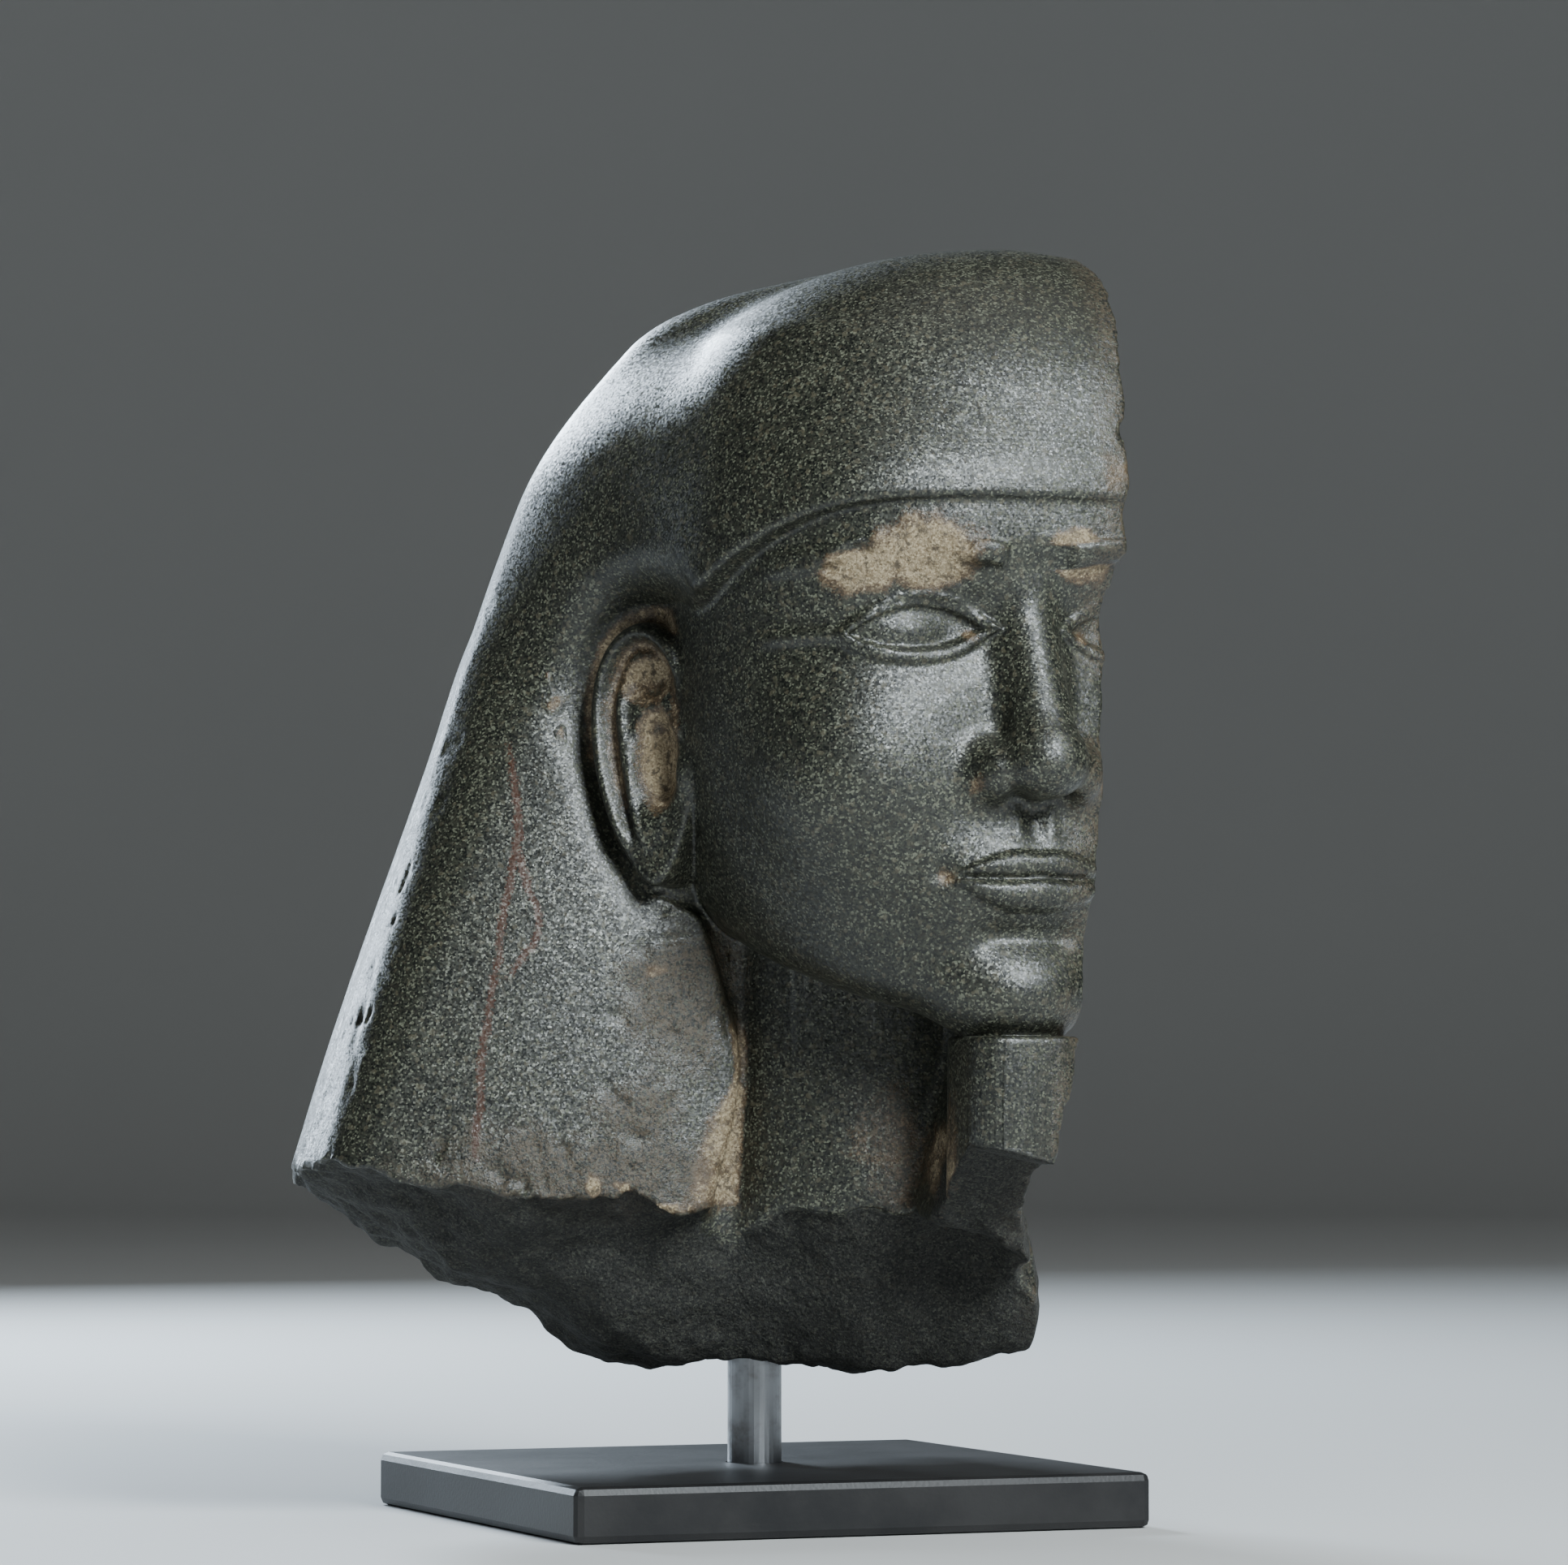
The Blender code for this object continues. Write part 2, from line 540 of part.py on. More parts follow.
def carved_stone():
    """The stone as a closed mesh in metres, with the face kept finer than the rest."""
    values, corner = sample(stone, GRID_LOW, GRID_HIGH, CELL)
    untangle(values, CELL)
    verts, faces = surface_net(values, corner, CELL)
    verts, faces = largest_body(settle(stone, verts, CELL * 0.4), faces)
    x, y, z = verts.T
    on_face = (-y > 4.0) & (x < 12.0) & (z > 2.0) & (z < WIG_EDGE_Z)
    chin = STONE_BOTTOM - BREAK_LOW_Z * UNIT
    moved = (verts - np.array([*ROD_AT, 0.0])) * UNIT + np.array([0.0, 0.0, chin])
    head = add("schist_head", moved * 0.001, faces, material("schist", (0.060, 0.066, 0.055), 0.0, 0.5))
    head.data.shade_smooth()
    plain = head.vertex_groups.new(name="plain")
    plain.add(np.flatnonzero(~on_face).tolist(), 1.0, "REPLACE")
    plain.add(np.flatnonzero(on_face).tolist(), FACE_SHARE, "REPLACE")
    fewer = head.modifiers.new("fewer", "DECIMATE")
    fewer.ratio = STONE_TRIANGLES / (2 * len(faces))
    fewer.vertex_group = "plain"
    bore(head, cylinder("rod_hole", ROD_DIA / 2 + GAP, FOOT_THICK / 2, ROD_TOP + GAP))


def mount_rod():
    steel = material("rod_steel", (0.42, 0.42, 0.43), 1.0, 0.35)
    rod = cylinder("mount_rod", ROD_DIA / 2, ROD_BOTTOM, ROD_TOP, steel)
    bevel(rod, ROD_EDGE)


def mount_foot():
    side = FOOT_SIDE / 2
    corners = ((-side, -side), (side, -side), (side, side), (-side, side))
    plate = np.array([(x, y, z) for z in (0.0, FOOT_THICK) for x, y in corners]) * 0.001
    faces = [(3, 2, 1, 0), (4, 5, 6, 7), (0, 1, 5, 4), (1, 2, 6, 5), (2, 3, 7, 6), (3, 0, 4, 7)]
    foot = add("mount_foot", plate, faces, material("foot_black", (0.018, 0.018, 0.019), 0.3, 0.45))
    bevel(foot, FOOT_EDGE)
    bore(foot, cylinder("foot_hole", ROD_DIA / 2 + GAP, ROD_BOTTOM - GAP, 2 * FOOT_THICK))


for obj in list(bpy.data.objects):
    bpy.data.objects.remove(obj, do_unlink=True)

carved_stone()
mount_rod()
mount_foot()
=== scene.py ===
"""Carved schist head in a plain bag wig, broken down its left side and through the neck, on a rod and foot.
The stone's form is the solid's own field, carried on here to fine carving, damage and worn surfaces."""

from concurrent.futures import ThreadPoolExecutor

import bpy
import numpy as np
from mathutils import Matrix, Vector


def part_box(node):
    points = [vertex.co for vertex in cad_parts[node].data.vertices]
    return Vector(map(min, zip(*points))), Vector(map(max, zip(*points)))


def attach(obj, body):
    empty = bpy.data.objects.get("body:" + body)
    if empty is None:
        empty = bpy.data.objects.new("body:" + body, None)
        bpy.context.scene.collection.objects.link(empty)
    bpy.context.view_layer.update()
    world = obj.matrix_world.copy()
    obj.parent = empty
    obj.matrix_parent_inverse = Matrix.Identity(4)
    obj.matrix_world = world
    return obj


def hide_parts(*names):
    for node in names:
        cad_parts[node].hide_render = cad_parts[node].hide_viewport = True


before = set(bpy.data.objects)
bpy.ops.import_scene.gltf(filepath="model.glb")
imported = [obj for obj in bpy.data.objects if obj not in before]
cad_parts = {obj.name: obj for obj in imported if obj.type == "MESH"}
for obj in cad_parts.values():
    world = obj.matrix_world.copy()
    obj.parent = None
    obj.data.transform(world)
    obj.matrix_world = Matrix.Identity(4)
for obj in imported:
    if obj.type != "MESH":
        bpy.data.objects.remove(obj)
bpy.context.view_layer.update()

# The stone's forms are given in units of which it has 116 from the chin to the top of the wig, with x to
# the sitter's left, f to the front and z up from the chin. One unit is one millimetre as built.
HEAD_HIGH = 116.0
UNITS = 116.0
UNIT = HEAD_HIGH / UNITS
MM = 0.001
PER_METRE = 1000.0
FACE_THIRD = 32.0
NOSE_Z = FACE_THIRD
BROW_Z = 2 * FACE_THIRD + 2.6
EYE_Z = 56.0
EYE_M = 17.0
EYE_HALF = 9.7
MOUTH_Z = 21.3
MOUTH_HALF = 12.6
WIG_EDGE_Z = 75.6
CROWN_HALF = 55.0
EAR_HIGH = 38.6
EAR_HALF = 8.6
EAR_AT = (41.6, 8.6, 40.2)
EAR_TURN = 51.0
EAR_LEAN = 7.0
EAR_TILT = 0.12
NECK_HALF = 30.0
LAPPET_EDGE = 29.0
BEARD_HALF = 8.5
BEARD_FRONT = 51.0
SIDE_BREAK_X = 8.2
BREAK_LOW_Z = -50.5
ROD_AT = (-18.0, 11.0)
ROD_SHOWS = 12.5
HOLE_RADIUS = 4.3
HOLE_DEPTH = 35.8

# Places on the front are given by how far across they lie for someone who looks from the front quarter.
QUARTER = np.radians(22.0)

# The red-brown veins on the wig's front: height, and place across the quarter view.
VEINS = (
    (
        (-20, -60.0), (-3, -59.5), (4.5, -58.4), (15, -56.8), (22, -55.8), (27.7, -54.9), (33, -55.0),
        (46, -57.4),
    ),
    ((6, -57.0), (10, -54.5), (14.8, -51.8), (22, -53.5), (30, -55.4)),
)

# Pale chips and specks: place across and height, half sizes, and how pale.
CHIPS = (
    (-43.8, -21.6, 1.3, 1.8, 0.95),
    (-39.6, -22.0, 1.6, 1.0, 0.95),
    (-32.4, -25.2, 3.4, 0.9, 1.0),
    (-50.0, 48.0, 1.3, 1.0, 0.75),
    (-48.6, 43.6, 0.8, 0.7, 0.8),
    (-51.0, 52.0, 0.6, 0.6, 0.7),
    (30.0, 78.6, 2.4, 2.6, 0.55),
    (-35.0, 9.0, 2.0, 1.0, 0.6),
)

# The mesh: the grid's box and step in units, and the triangles that are kept.
GRID_LOW = (-100.0, -70.0, -62.0)
GRID_HIGH = (44.0, 74.0, 124.0)
CELL = 0.5
TRIANGLES = 190000


# Smooth joins and cuts of signed fields, negative inside.
def join(a, b, blend):
    h = np.clip(0.5 + 0.5 * (b - a) / blend, 0.0, 1.0)
    return b + (a - b) * h - blend * h * (1.0 - h)


def common(a, b, blend):
    return -join(-a, -b, blend)


def cut(a, b, blend):
    return -join(-a, b, blend)


def step(x, low, high):
    t = np.clip((x - low) / (high - low), 0.0, 1.0)
    return t * t * (3.0 - 2.0 * t)


def bump(d, width):
    return np.exp(-((d / width) ** 2))


def through(z, *knots):
    """A smooth curve through (z, value) knots."""
    at = np.array([k[0] for k in knots], float)
    value = np.array([k[1] for k in knots], float)
    slope = np.gradient(value, at)
    i = np.clip(np.searchsorted(at, z) - 1, 0, len(at) - 2)
    w = at[i + 1] - at[i]
    t = np.clip((z - at[i]) / w, 0.0, 1.0)
    first = (2 * t**3 - 3 * t**2 + 1) * value[i] + (t**3 - 2 * t**2 + t) * w * slope[i]
    return first + (3 * t**2 - 2 * t**3) * value[i + 1] + (t**3 - t**2) * w * slope[i + 1]


def ellipsoid(x, y, z, centre, radii):
    px, py, pz = x - centre[0], y - centre[1], z - centre[2]
    a, b, c = radii
    k = np.sqrt((px / a) ** 2 + (py / b) ** 2 + (pz / c) ** 2)
    g = np.sqrt((px / a**2) ** 2 + (py / b**2) ** 2 + (pz / c**2) ** 2)
    return k * (k - 1.0) / np.maximum(g, 1e-6)


def capsule(x, y, z, start, end, ra, rb):
    dx, dy, dz = end[0] - start[0], end[1] - start[1], end[2] - start[2]
    t = (x - start[0]) * dx + (y - start[1]) * dy + (z - start[2]) * dz
    t = np.clip(t / (dx * dx + dy * dy + dz * dz), 0.0, 1.0)
    px, py, pz = x - start[0] - t * dx, y - start[1] - t * dy, z - start[2] - t * dz
    return np.sqrt(px**2 + py**2 + pz**2) - (ra + (rb - ra) * t)


def section(a, b, half_width, half_depth, power):
    """The field of a superellipse outline, of about one unit a millimetre."""
    k = (np.abs(a) / half_width) ** power + (np.abs(b) / half_depth) ** power
    k = np.maximum(k, 1e-9) ** (1.0 / power)
    return (k - 1.0) * np.minimum(half_width, half_depth)


def lattice(i, j, k, seed):
    h = (i * 374761393 + j * 668265263 + k * 2147483647 + seed * 974634777) & 0xFFFFFFFF
    h = ((h ^ (h >> 13)) * 1274126177) & 0xFFFFFFFF
    return ((h ^ (h >> 16)) & 0xFFFF) / 32767.5 - 1.0


def noise(x, y, z, size, seed):
    """Smooth bumps from -1 to 1, about size apart."""
    p = [c / size + seed * 17.31 for c in (x, y, z)]
    cell = [np.floor(c).astype(np.int64) for c in p]
    f = [c - k for c, k in zip(p, cell)]
    f = [t * t * (3 - 2 * t) for t in f]
    total = 0.0
    for i in (0, 1):
        for j in (0, 1):
            for k in (0, 1):
                w = (f[0] if i else 1 - f[0]) * (f[1] if j else 1 - f[1]) * (f[2] if k else 1 - f[2])
                total = total + w * lattice(cell[0] + i, cell[1] + j, cell[2] + k, seed)
    return total


def fractal(x, y, z, size, seed, octaves):
    total = 0.0
    for k in range(octaves):
        total = total + 0.5**k * noise(x, y, z, size / 2**k, seed + k)
    return total


# The forms of the head: m is the distance from its middle, f to the front, z up.
def face_mass(m, f, z):
    half = through(
        z, (-4, 12), (0, 17), (4, 23), (10, 29), (20, 34.5), (32, 38), (45, 39.5), (56, 39.3),
        (66, 39), (76, 37.5), (85, 33), (95, 26),
    )
    front = through(
        z, (-4, 40), (0, 45.0), (5, 48.0), (12, 48.2), (20, 48.8), (32, 49.3), (45, 49.3),
        (56, 48.6), (64, 50.6), (75, 51.2), (79, 50.4), (87, 45), (95, 37),
    )
    power = through(z, (-4, 2.05), (20, 2.3), (40, 2.55), (64, 2.5), (95, 2.4))
    d = section(m, f - 12.0, half, front - 12.0, power)
    under = (-1.0 + 0.40 * np.clip(44.0 - f, 0, 60) - z) * 0.9
    d = common(d, under, 6.0)
    return common(d, z - 97.0, 4.0)


def neck(m, f, z):
    d = section(m, f + 3.0, NECK_HALF - 0.02 * z, 27.0 - 0.05 * z, 2.1)
    return common(d, z - 40.0, 3.0)


def crown(x, f, z):
    """The wig over the skull. Its highest stretch lies to the sitter's left."""
    m = np.abs(x - 10.0)
    reach = np.where(f > 8.0, 45.0, 49.0)
    q = (m / CROWN_HALF) ** 2.1 + (np.abs(f - 8.0) / reach) ** 2.2
    q = q ** (2.5 / 2.2) + (np.abs(z - 62.0) / (UNITS - 62.6 - 0.04 * m)) ** 2.5
    return (q ** (1 / 2.5) - 1.0) * 45.0


def wings(m, f, z):
    half = through(
        z, (-60, 100.5), (-20, 87.3), (-5, 82.6), (40, 66.7), (60, 59.8), (78, 50.0), (90, 44.4),
        (96, 42.0), (100, 41.2), (104, 40.2), (107.5, 37.0), (110.5, 31), (113, 20), (118, 2),
    )
    front = through(z, (-60, 16), (-20, 14.5), (0, 13), (20, 10.5), (40, 6.5), (70, 2), (90, 0), (118, -10))
    drop = through(z, (-60, 17), (-20, 15.5), (40, 13), (90, 11), (118, 8))
    back = through(z, (-60, 60), (-20, 57), (20, 55), (60, 50), (90, 41), (105, 31), (118, 12))
    r = np.minimum(m / half, 1.4)
    face = (f - front + drop * r**3) / np.sqrt(1 + (3 * drop * r**2 / half) ** 2)
    side = (m - half + 0.22 * np.clip(-f - 15, 0, 60)) * 0.93
    rear = (-f - back + 9.0 * r**2)
    d = common(face, side, through(z, (-20, 5.0), (40, 8.0), (90, 16.0)))
    d = common(d, rear, 20.0)
    return common(d, z - UNITS + 2.4, 5.0)


def wig(x, m, f, z):
    """Crown and wings. Round the face the wig keeps some thickness over forehead and temple."""
    soft = through(z, (40, 9.5), (55, 15), (68, 24), (82, 27), (94, 20), (103, 11), (110, 9.5))
    d = join(crown(x, f, z), wings(m, f, z), np.where(z > 40, soft, 9.5))
    thick = 0.7 + 1.6 * step(m, 10.0, 33.0)
    return join(d, common(face_mass(m, f, z) - thick, 52.0 - z, 4.0), 5.0)


def window(m, f, z):
    """The wig's opening: it climbs from behind the ear over the temple to the forehead."""
    edge = through(
        f, (6, 34), (10, 44), (17, 54.5), (27, 63.0), (36, 68.8), (45, 73.2), (60, WIG_EDGE_Z)
    )
    d = np.maximum((z - edge) * 0.75, 8.0 - f)
    inner = LAPPET_EDGE + through(z, (-30, 5.6), (-21, 3.5), (-14, 1.4), (-6, 0), (2, 0.6), (9, 3), (18, 6))
    return common(d, m - inner - 40.0 * step(z, 16.0, 30.0), 3.0)


def nose(m, f, z):
    d = capsule(m, f, z, (0, 45.6, 61), (0, 53.2, NOSE_Z + 7.8), 3.7, 4.9)
    d = join(d, ellipsoid(m, f, z, (0, 54.0, NOSE_Z + 5.2), (5.9, 5.6, 4.9)), 3.0)
    d = join(d, ellipsoid(m, f, z, (6.6, 49.8, NOSE_Z + 4.2), (3.3, 5.2, 4.3)), 1.6)
    return cut(d, ellipsoid(m, f, z, (3.6, 52.6, NOSE_Z - 0.4), (1.8, 3.0, 2.0)), 0.8)


def beard(m, f, z):
    d = section(m, f - BEARD_FRONT + 8.4, BEARD_HALF - 0.012 * z, 8.4, 3.2)
    return common(d, z + 0.6, 0.6)


def beard_end(x, f, z):
    """Everything past this face of the beard is lost."""
    return (-15.8 - 0.26 * (x + 8) - 0.9 * np.clip(46 - f, 0, 30) - z) * 0.75


def web(m, f, z):
    """The stone left between the beard and the neck."""
    half = 1.6 + 0.30 * np.clip(-z - 2, 0, 24)
    front = 41.0 - 0.25 * np.clip(-z - 6, 0, 40)
    d = np.maximum(m - half, np.maximum(f - front, 10.0 - f))
    return common(d, z - 8.0, 2.0)


def almond(m, z):
    """The eye's opening in the plane of the face, negative inside."""
    u = (m - EYE_M) / EYE_HALF
    middle = EYE_Z - 0.3 * u
    high = 3.7 * np.clip(1 - np.abs(u + 0.10) ** 2.2, -1, 1)
    low = 2.7 * np.clip(1 - np.abs(u) ** 2.4, -1, 1)
    return np.where(z > middle, (z - middle) - high, (middle - z) - low) * 0.85


def lip_relief(m, z):
    u = np.clip(m / MOUTH_HALF, 0, 1)
    line = MOUTH_Z + 0.35 * bump(m, 3.2) + 0.5 * u**3
    top = line + 4.4 * (1 - u**2.2) - 0.8 * bump(m, 2.0)
    foot = line - 5.0 * (1 - u**2.4)
    t = np.clip((z - line) / np.maximum(top - line, 0.3), 0, 1)
    s = np.clip((line - z) / np.maximum(line - foot, 0.3), 0, 1)
    up = np.where(z >= line, (1 - t**5) * (0.35 + 0.65 * np.sqrt(t + 0.02)) * 1.7, 0)
    low = np.where(z < line, (1 - s**5) * (0.35 + 0.65 * np.sqrt(s + 0.02)) * 2.1, 0)
    h = (up + low) * (1.0 - 0.55 * u**2) * (1 - step(m, 11.8, 12.8))
    return h - 0.9 * bump(z - line, 0.55) * (1 - step(m, 12.0, 13.5))


def brow_line(m):
    arch = np.sin(np.clip((m - 5) / 26.0, 0, 1) * np.pi)
    return BROW_Z + 1.6 * arch - 0.1 * np.clip(m - 22, 0, 20)


def front_relief(m, f, z, brow_left):
    """The low carving on the front of the face, as a height over it."""
    a = almond(m, z)
    h = 0.75 * step(a, -0.35, 0.15) * (1 - step(a, 1.2, 1.8)) * (1 - step(m, 26.0, 27.5))
    h = h - 0.45 * (1 - step(a, -0.5, 0.0))
    crease = np.abs(z - (EYE_Z + 4.4 - 0.028 * (m - 15.5) ** 2))
    h = h - 0.45 * bump(crease, 0.7) * step(m, 7.0, 10.0) * (1 - step(m, 25.0, 28.5))
    tail = step(m, 24.5, 27.0) * (1 - step(m, 33.5, 35.5))
    h = h + 0.6 * tail * (1 - step(np.abs(z - EYE_Z + 0.4 + 0.05 * (m - 26)), 0.6, 1.15))
    brow = np.abs(z - brow_line(m))
    band = 0.75 * (1 - step(brow, 1.2, 2.0)) * step(m, 4.2, 5.6) * (1 - step(m, 33.0, 35.5))
    h = h + band * brow_left
    h = h + lip_relief(m, z) * step(f, 30, 36)
    groove = step(z, NOSE_Z - 6.5, NOSE_Z - 4.5) * (1 - step(z, NOSE_Z - 1.5, NOSE_Z + 0.5))
    h = h + (0.25 * bump(m - 2.6, 1.0) - 0.45 * bump(m, 1.5)) * groove
    h = h - 1.4 * bump(z - 13.6, 2.2) * (1 - step(m, 4.0, 11.0))
    h = h - 0.9 * bump(np.sqrt((m - 13.2) ** 2 + (z - MOUTH_Z - 0.6) ** 2), 1.5)
    return h * step(f, 20, 28)


def forehead(x, m, f, z):
    """Under the wig's front edge the forehead lies almost level with it."""
    thick = 0.5 + 0.5 * step(m, 16.0, 26.0) + 5.0 * step(m, 28.0, 38.0)
    return common(np.maximum(crown(x, f, z) + thick, 20.0 - f), 67.5 - z, 3.0)


def face(x, m, f, z):
    d = join(face_mass(m, f, z), forehead(x, m, f, z), 3.0)
    d = cut(d, ellipsoid(m, f, z, (15.5, 55.0, EYE_Z + 1.5), (14.0, 8.8, 6.4)), 5.0)
    d = join(d, nose(m, f, z), 3.6)
    d = join(d, ellipsoid(m, f, z, (EYE_M - 0.2, 36.6, EYE_Z), (11.8, 10.4, 7.6)), 1.4)
    d = join(d, ellipsoid(m, f, z, (20.0, 37.0, 36.0), (13.0, 10.0, 13.0)), 9.0)
    d = join(d, ellipsoid(m, f, z, (0.0, 41.8, 5.2), (9.5, 8.4, 6.2)), 6.0)
    d = join(d, ellipsoid(m, f, z, (0.0, 43.0, MOUTH_Z), (15.0, 7.6, 9.0)), 6.0)
    return d - front_relief(m, f, z, 1.0 - brow_loss(x, f, z))


def ear_place(m, f, z):
    """Places on the ear: w runs back along it, n out of it and h up; deep is how far in from its rim."""
    turn, lean = np.radians(EAR_TURN), np.radians(EAR_LEAN)
    a, b, c = m - EAR_AT[0], f - EAR_AT[1], z - EAR_AT[2]
    w0 = a * np.cos(turn) - b * np.sin(turn)
    n = a * np.sin(turn) + b * np.cos(turn) + EAR_TILT * c
    w = w0 * np.cos(lean) - c * np.sin(lean)
    h = c * np.cos(lean) + w0 * np.sin(lean)
    high = EAR_HIGH / 2
    up, down = np.clip(h / high, 0, 1), np.clip(-h / high, 0, 1)
    width = EAR_HALF * (1.0 + 0.24 * (up - down) - 0.10 * down**2)
    k = np.sqrt((w / width) ** 2 + (h / high) ** 2)
    g = np.sqrt((w / width**2) ** 2 + (h / high**2) ** 2)
    return w, n, h, -k * (k - 1) / np.maximum(g, 1e-4)


def ear_bed(m, f, z):
    """The hollow that the ear lies in."""
    _, n, h, deep = ear_place(m, f, z)
    margin = 1.5 + 1.1 * step(h, -6.0, 8.0)
    flare = 0.5 * step(h, -4.0, 8.0)
    return common(-deep - margin - flare * np.clip(n, 0.0, 12.0), -0.6 - n, 2.0)


def ear(m, f, z):
    w, n, h, deep = ear_place(m, f, z)
    above = step(h, -17.0, -9.0)
    outer = np.maximum(step(w + 0.45 * h, -5.0, 0.0), step(h, 9.0, 14.0))
    relief = 2.0 + 0.02 * h
    relief = relief + 1.9 * bump(deep - 1.5, 1.25) * outer * (0.35 + 0.65 * above)
    relief = relief - 0.9 * bump(deep - 3.5, 0.9) * outer * above
    fold = step(w, -3.0, 1.0) * above * (1 - step(h, 7.0, 13.0))
    relief = relief + 1.0 * bump(deep - 5.4, 1.2) * fold
    bowl = np.sqrt(((w + 1.6) / 3.7) ** 2 + ((h + 1.2) / 7.6) ** 2)
    relief = relief - 3.4 * (1 - step(bowl, 0.45, 1.15))
    fork = np.sqrt(((w + 0.6) / 4.4) ** 2 + ((h - 10.6) / 3.5) ** 2)
    relief = relief - 1.6 * (1 - step(fork, 0.4, 1.2))
    relief = relief + 1.5 * bump(np.sqrt((w + 6.4) ** 2 + ((h + 3.5) / 1.6) ** 2), 2.0)
    relief = relief + 0.8 * bump(np.sqrt((w - 0.4) ** 2 + (h + 10.6) ** 2), 2.0)
    relief = relief + bump(np.sqrt((w + 5.5) ** 2 + ((h - 3.2 - 0.3 * (w + 5)) / 0.8) ** 2), 1.6)
    d = common(-deep, (n - relief) * 0.75, 1.0)
    return np.maximum(d, -n - 7.0)


# Damage. Each mark is a soft patch from 0 to 1 at its place across and up the front quarter view.
def across(x, f):
    return x * np.cos(QUARTER) + f * np.sin(QUARTER)


def patch(u, z, at, radii, ragged, edge=0.45):
    """1 inside an ellipse whose outline is broken up by the ragged field, 0 outside."""
    r = np.sqrt(((u - at[0]) / radii[0]) ** 2 + ((z - at[1]) / radii[1]) ** 2)
    return 1.0 - step(r + 0.45 * ragged, 1.0 - edge, 1.0 + edge)


def brow_loss(x, f, z):
    """Where the raised brow on the sitter's right is broken away."""
    u = across(x, f)
    ragged = fractal(x, f, z, 3.0, 41, 2)
    middle = patch(u, z, (2.6, 66.6), (8.2, 4.0), ragged, 0.25)
    outer = patch(u, z, (-6.4, 64.4), (4.6, 2.7), ragged, 0.25)
    return np.maximum(middle, outer) * step(f, 30, 34)


def break_side(x, f, z, rough):
    """Everything past this face is lost: the sitter's left."""
    reach = SIDE_BREAK_X + 0.078 * (z - 5.0) + 0.10 * (45.0 - f) - 0.18 * np.clip(-z, 0, 22)
    reach = reach + 12.0 * step(-z, 10.0, 40.0) * bump(f - 16.0, 17.0) + 0.05 * np.clip(z - 88.0, 0, 30)
    corner = x * 0.55 + (z - UNITS) * 0.62 + (f - 30) * 0.10 - 12.1
    return np.maximum((x - reach) * 0.99, corner) + rough


def break_base(x, f, z, rough):
    """The break through neck and wings: steep behind the front edge, then a rounded belly."""
    r = -x
    edge = through(
        r, (-40, -31.0), (-6, -31.5), (2, -28.0), (12, -25.0), (25, -25.0), (36, -25.6), (50, -22.8),
        (62, -24.4), (75, -22.5), (88, -18.0), (110, -15.0),
    )
    belly = through(
        r, (-40, 12.0), (-16, 14.0), (-4, 18.0), (5, 22.5), (20, 24.0), (33, 23.0), (46, 20.0),
        (58, 13.0), (72, 8.0), (84, 1.5), (110, 0.0),
    )
    front = through(
        r, (-40, 34), (-12, 32), (0, 27), (12, 24), (22, 17), (28, 14), (45, 12), (60, 9),
        (75, 4), (88, -4), (110, -22),
    )
    fall = step(front - f, 0.0, 16.0) * step(f + 52.0, 0.0, 34.0)
    return (edge - belly * fall - z) * 0.6 + rough


def rod_hole(x, f, z):
    """The drilled hole, chipped wide round its mouth."""
    r = np.sqrt((x - ROD_AT[0]) ** 2 + (f + ROD_AT[1]) ** 2)
    mouth = 1.7 * step(-z, 40.0, 49.0) * (1.0 + 0.5 * noise(x, f, z, 3.0, 71))
    return np.maximum(r - HOLE_RADIUS - mouth, z - BREAK_LOW_Z - HOLE_DEPTH)


def carved(x, f, z, rough):
    """The carved stone before its two great breaks."""
    m = np.abs(x)
    d = cut(wig(x, m, f, z), window(m, f, z), 0.8 + 2.4 * (1 - step(z, 2.0, 14.0)))
    d = cut(d, ear_bed(m, f, z), 4.0)
    d = join(d, neck(m, f, z), 1.5)
    d = join(d, face(x, m, f, z), 0.4)
    d = join(d, ear(m, f, z), 0.8)
    d = join(d, web(m, f, z) + 0.7 * rough * step(-z, 8.0, 16.0), 2.0)
    return join(d, np.maximum(beard(m, f, z), beard_end(x, f, z) + 0.5 * rough), 0.5)


def worn_places(x, f, z, ragged):
    """The pitted places of the wig: below the ear, and along the broken lower edge."""
    u = across(x, f)
    below_ear = patch(u, z, (-30.5, 6.3), (7.5, 9.0), ragged)
    by_edge = patch(u, z, (-45.0, -19.5), (19.0, 6.0), ragged)
    by_edge = np.maximum(by_edge, patch(u, z, (-37.5, -11.5), (5.5, 5.0), ragged))
    return np.maximum(below_ear, by_edge) * step(f, -6, 0)


def wear(x, f, z):
    """How deep the worked surface is pitted and broken, in units."""
    ragged = fractal(x, f, z, 6.0, 51, 2)
    pits = step(noise(x, f, z, 1.5, 61), 0.25, 0.75)
    dents = step(noise(x, f, z, 3.2, 63), 0.1, 0.8)
    loss = brow_loss(x, f, z) * (0.35 + 0.30 * ragged + 0.35 * pits)
    loss = loss + (0.42 * pits + 0.35 * dents) * worn_places(x, f, z, ragged)
    low_edge = step(-z, 17.0, 24.0) * step(f, -20, -10)
    loss = loss + 0.5 * pits * low_edge * step(ragged, -0.2, 0.5)
    rim = bump(x + 88.0 - 0.335 * (z + 20.0), 3.2) * step(ragged, -0.6, 0.3) * (1 - step(z, 60.0, 74.0))
    return loss + (0.35 * pits + 0.35 * dents) * rim


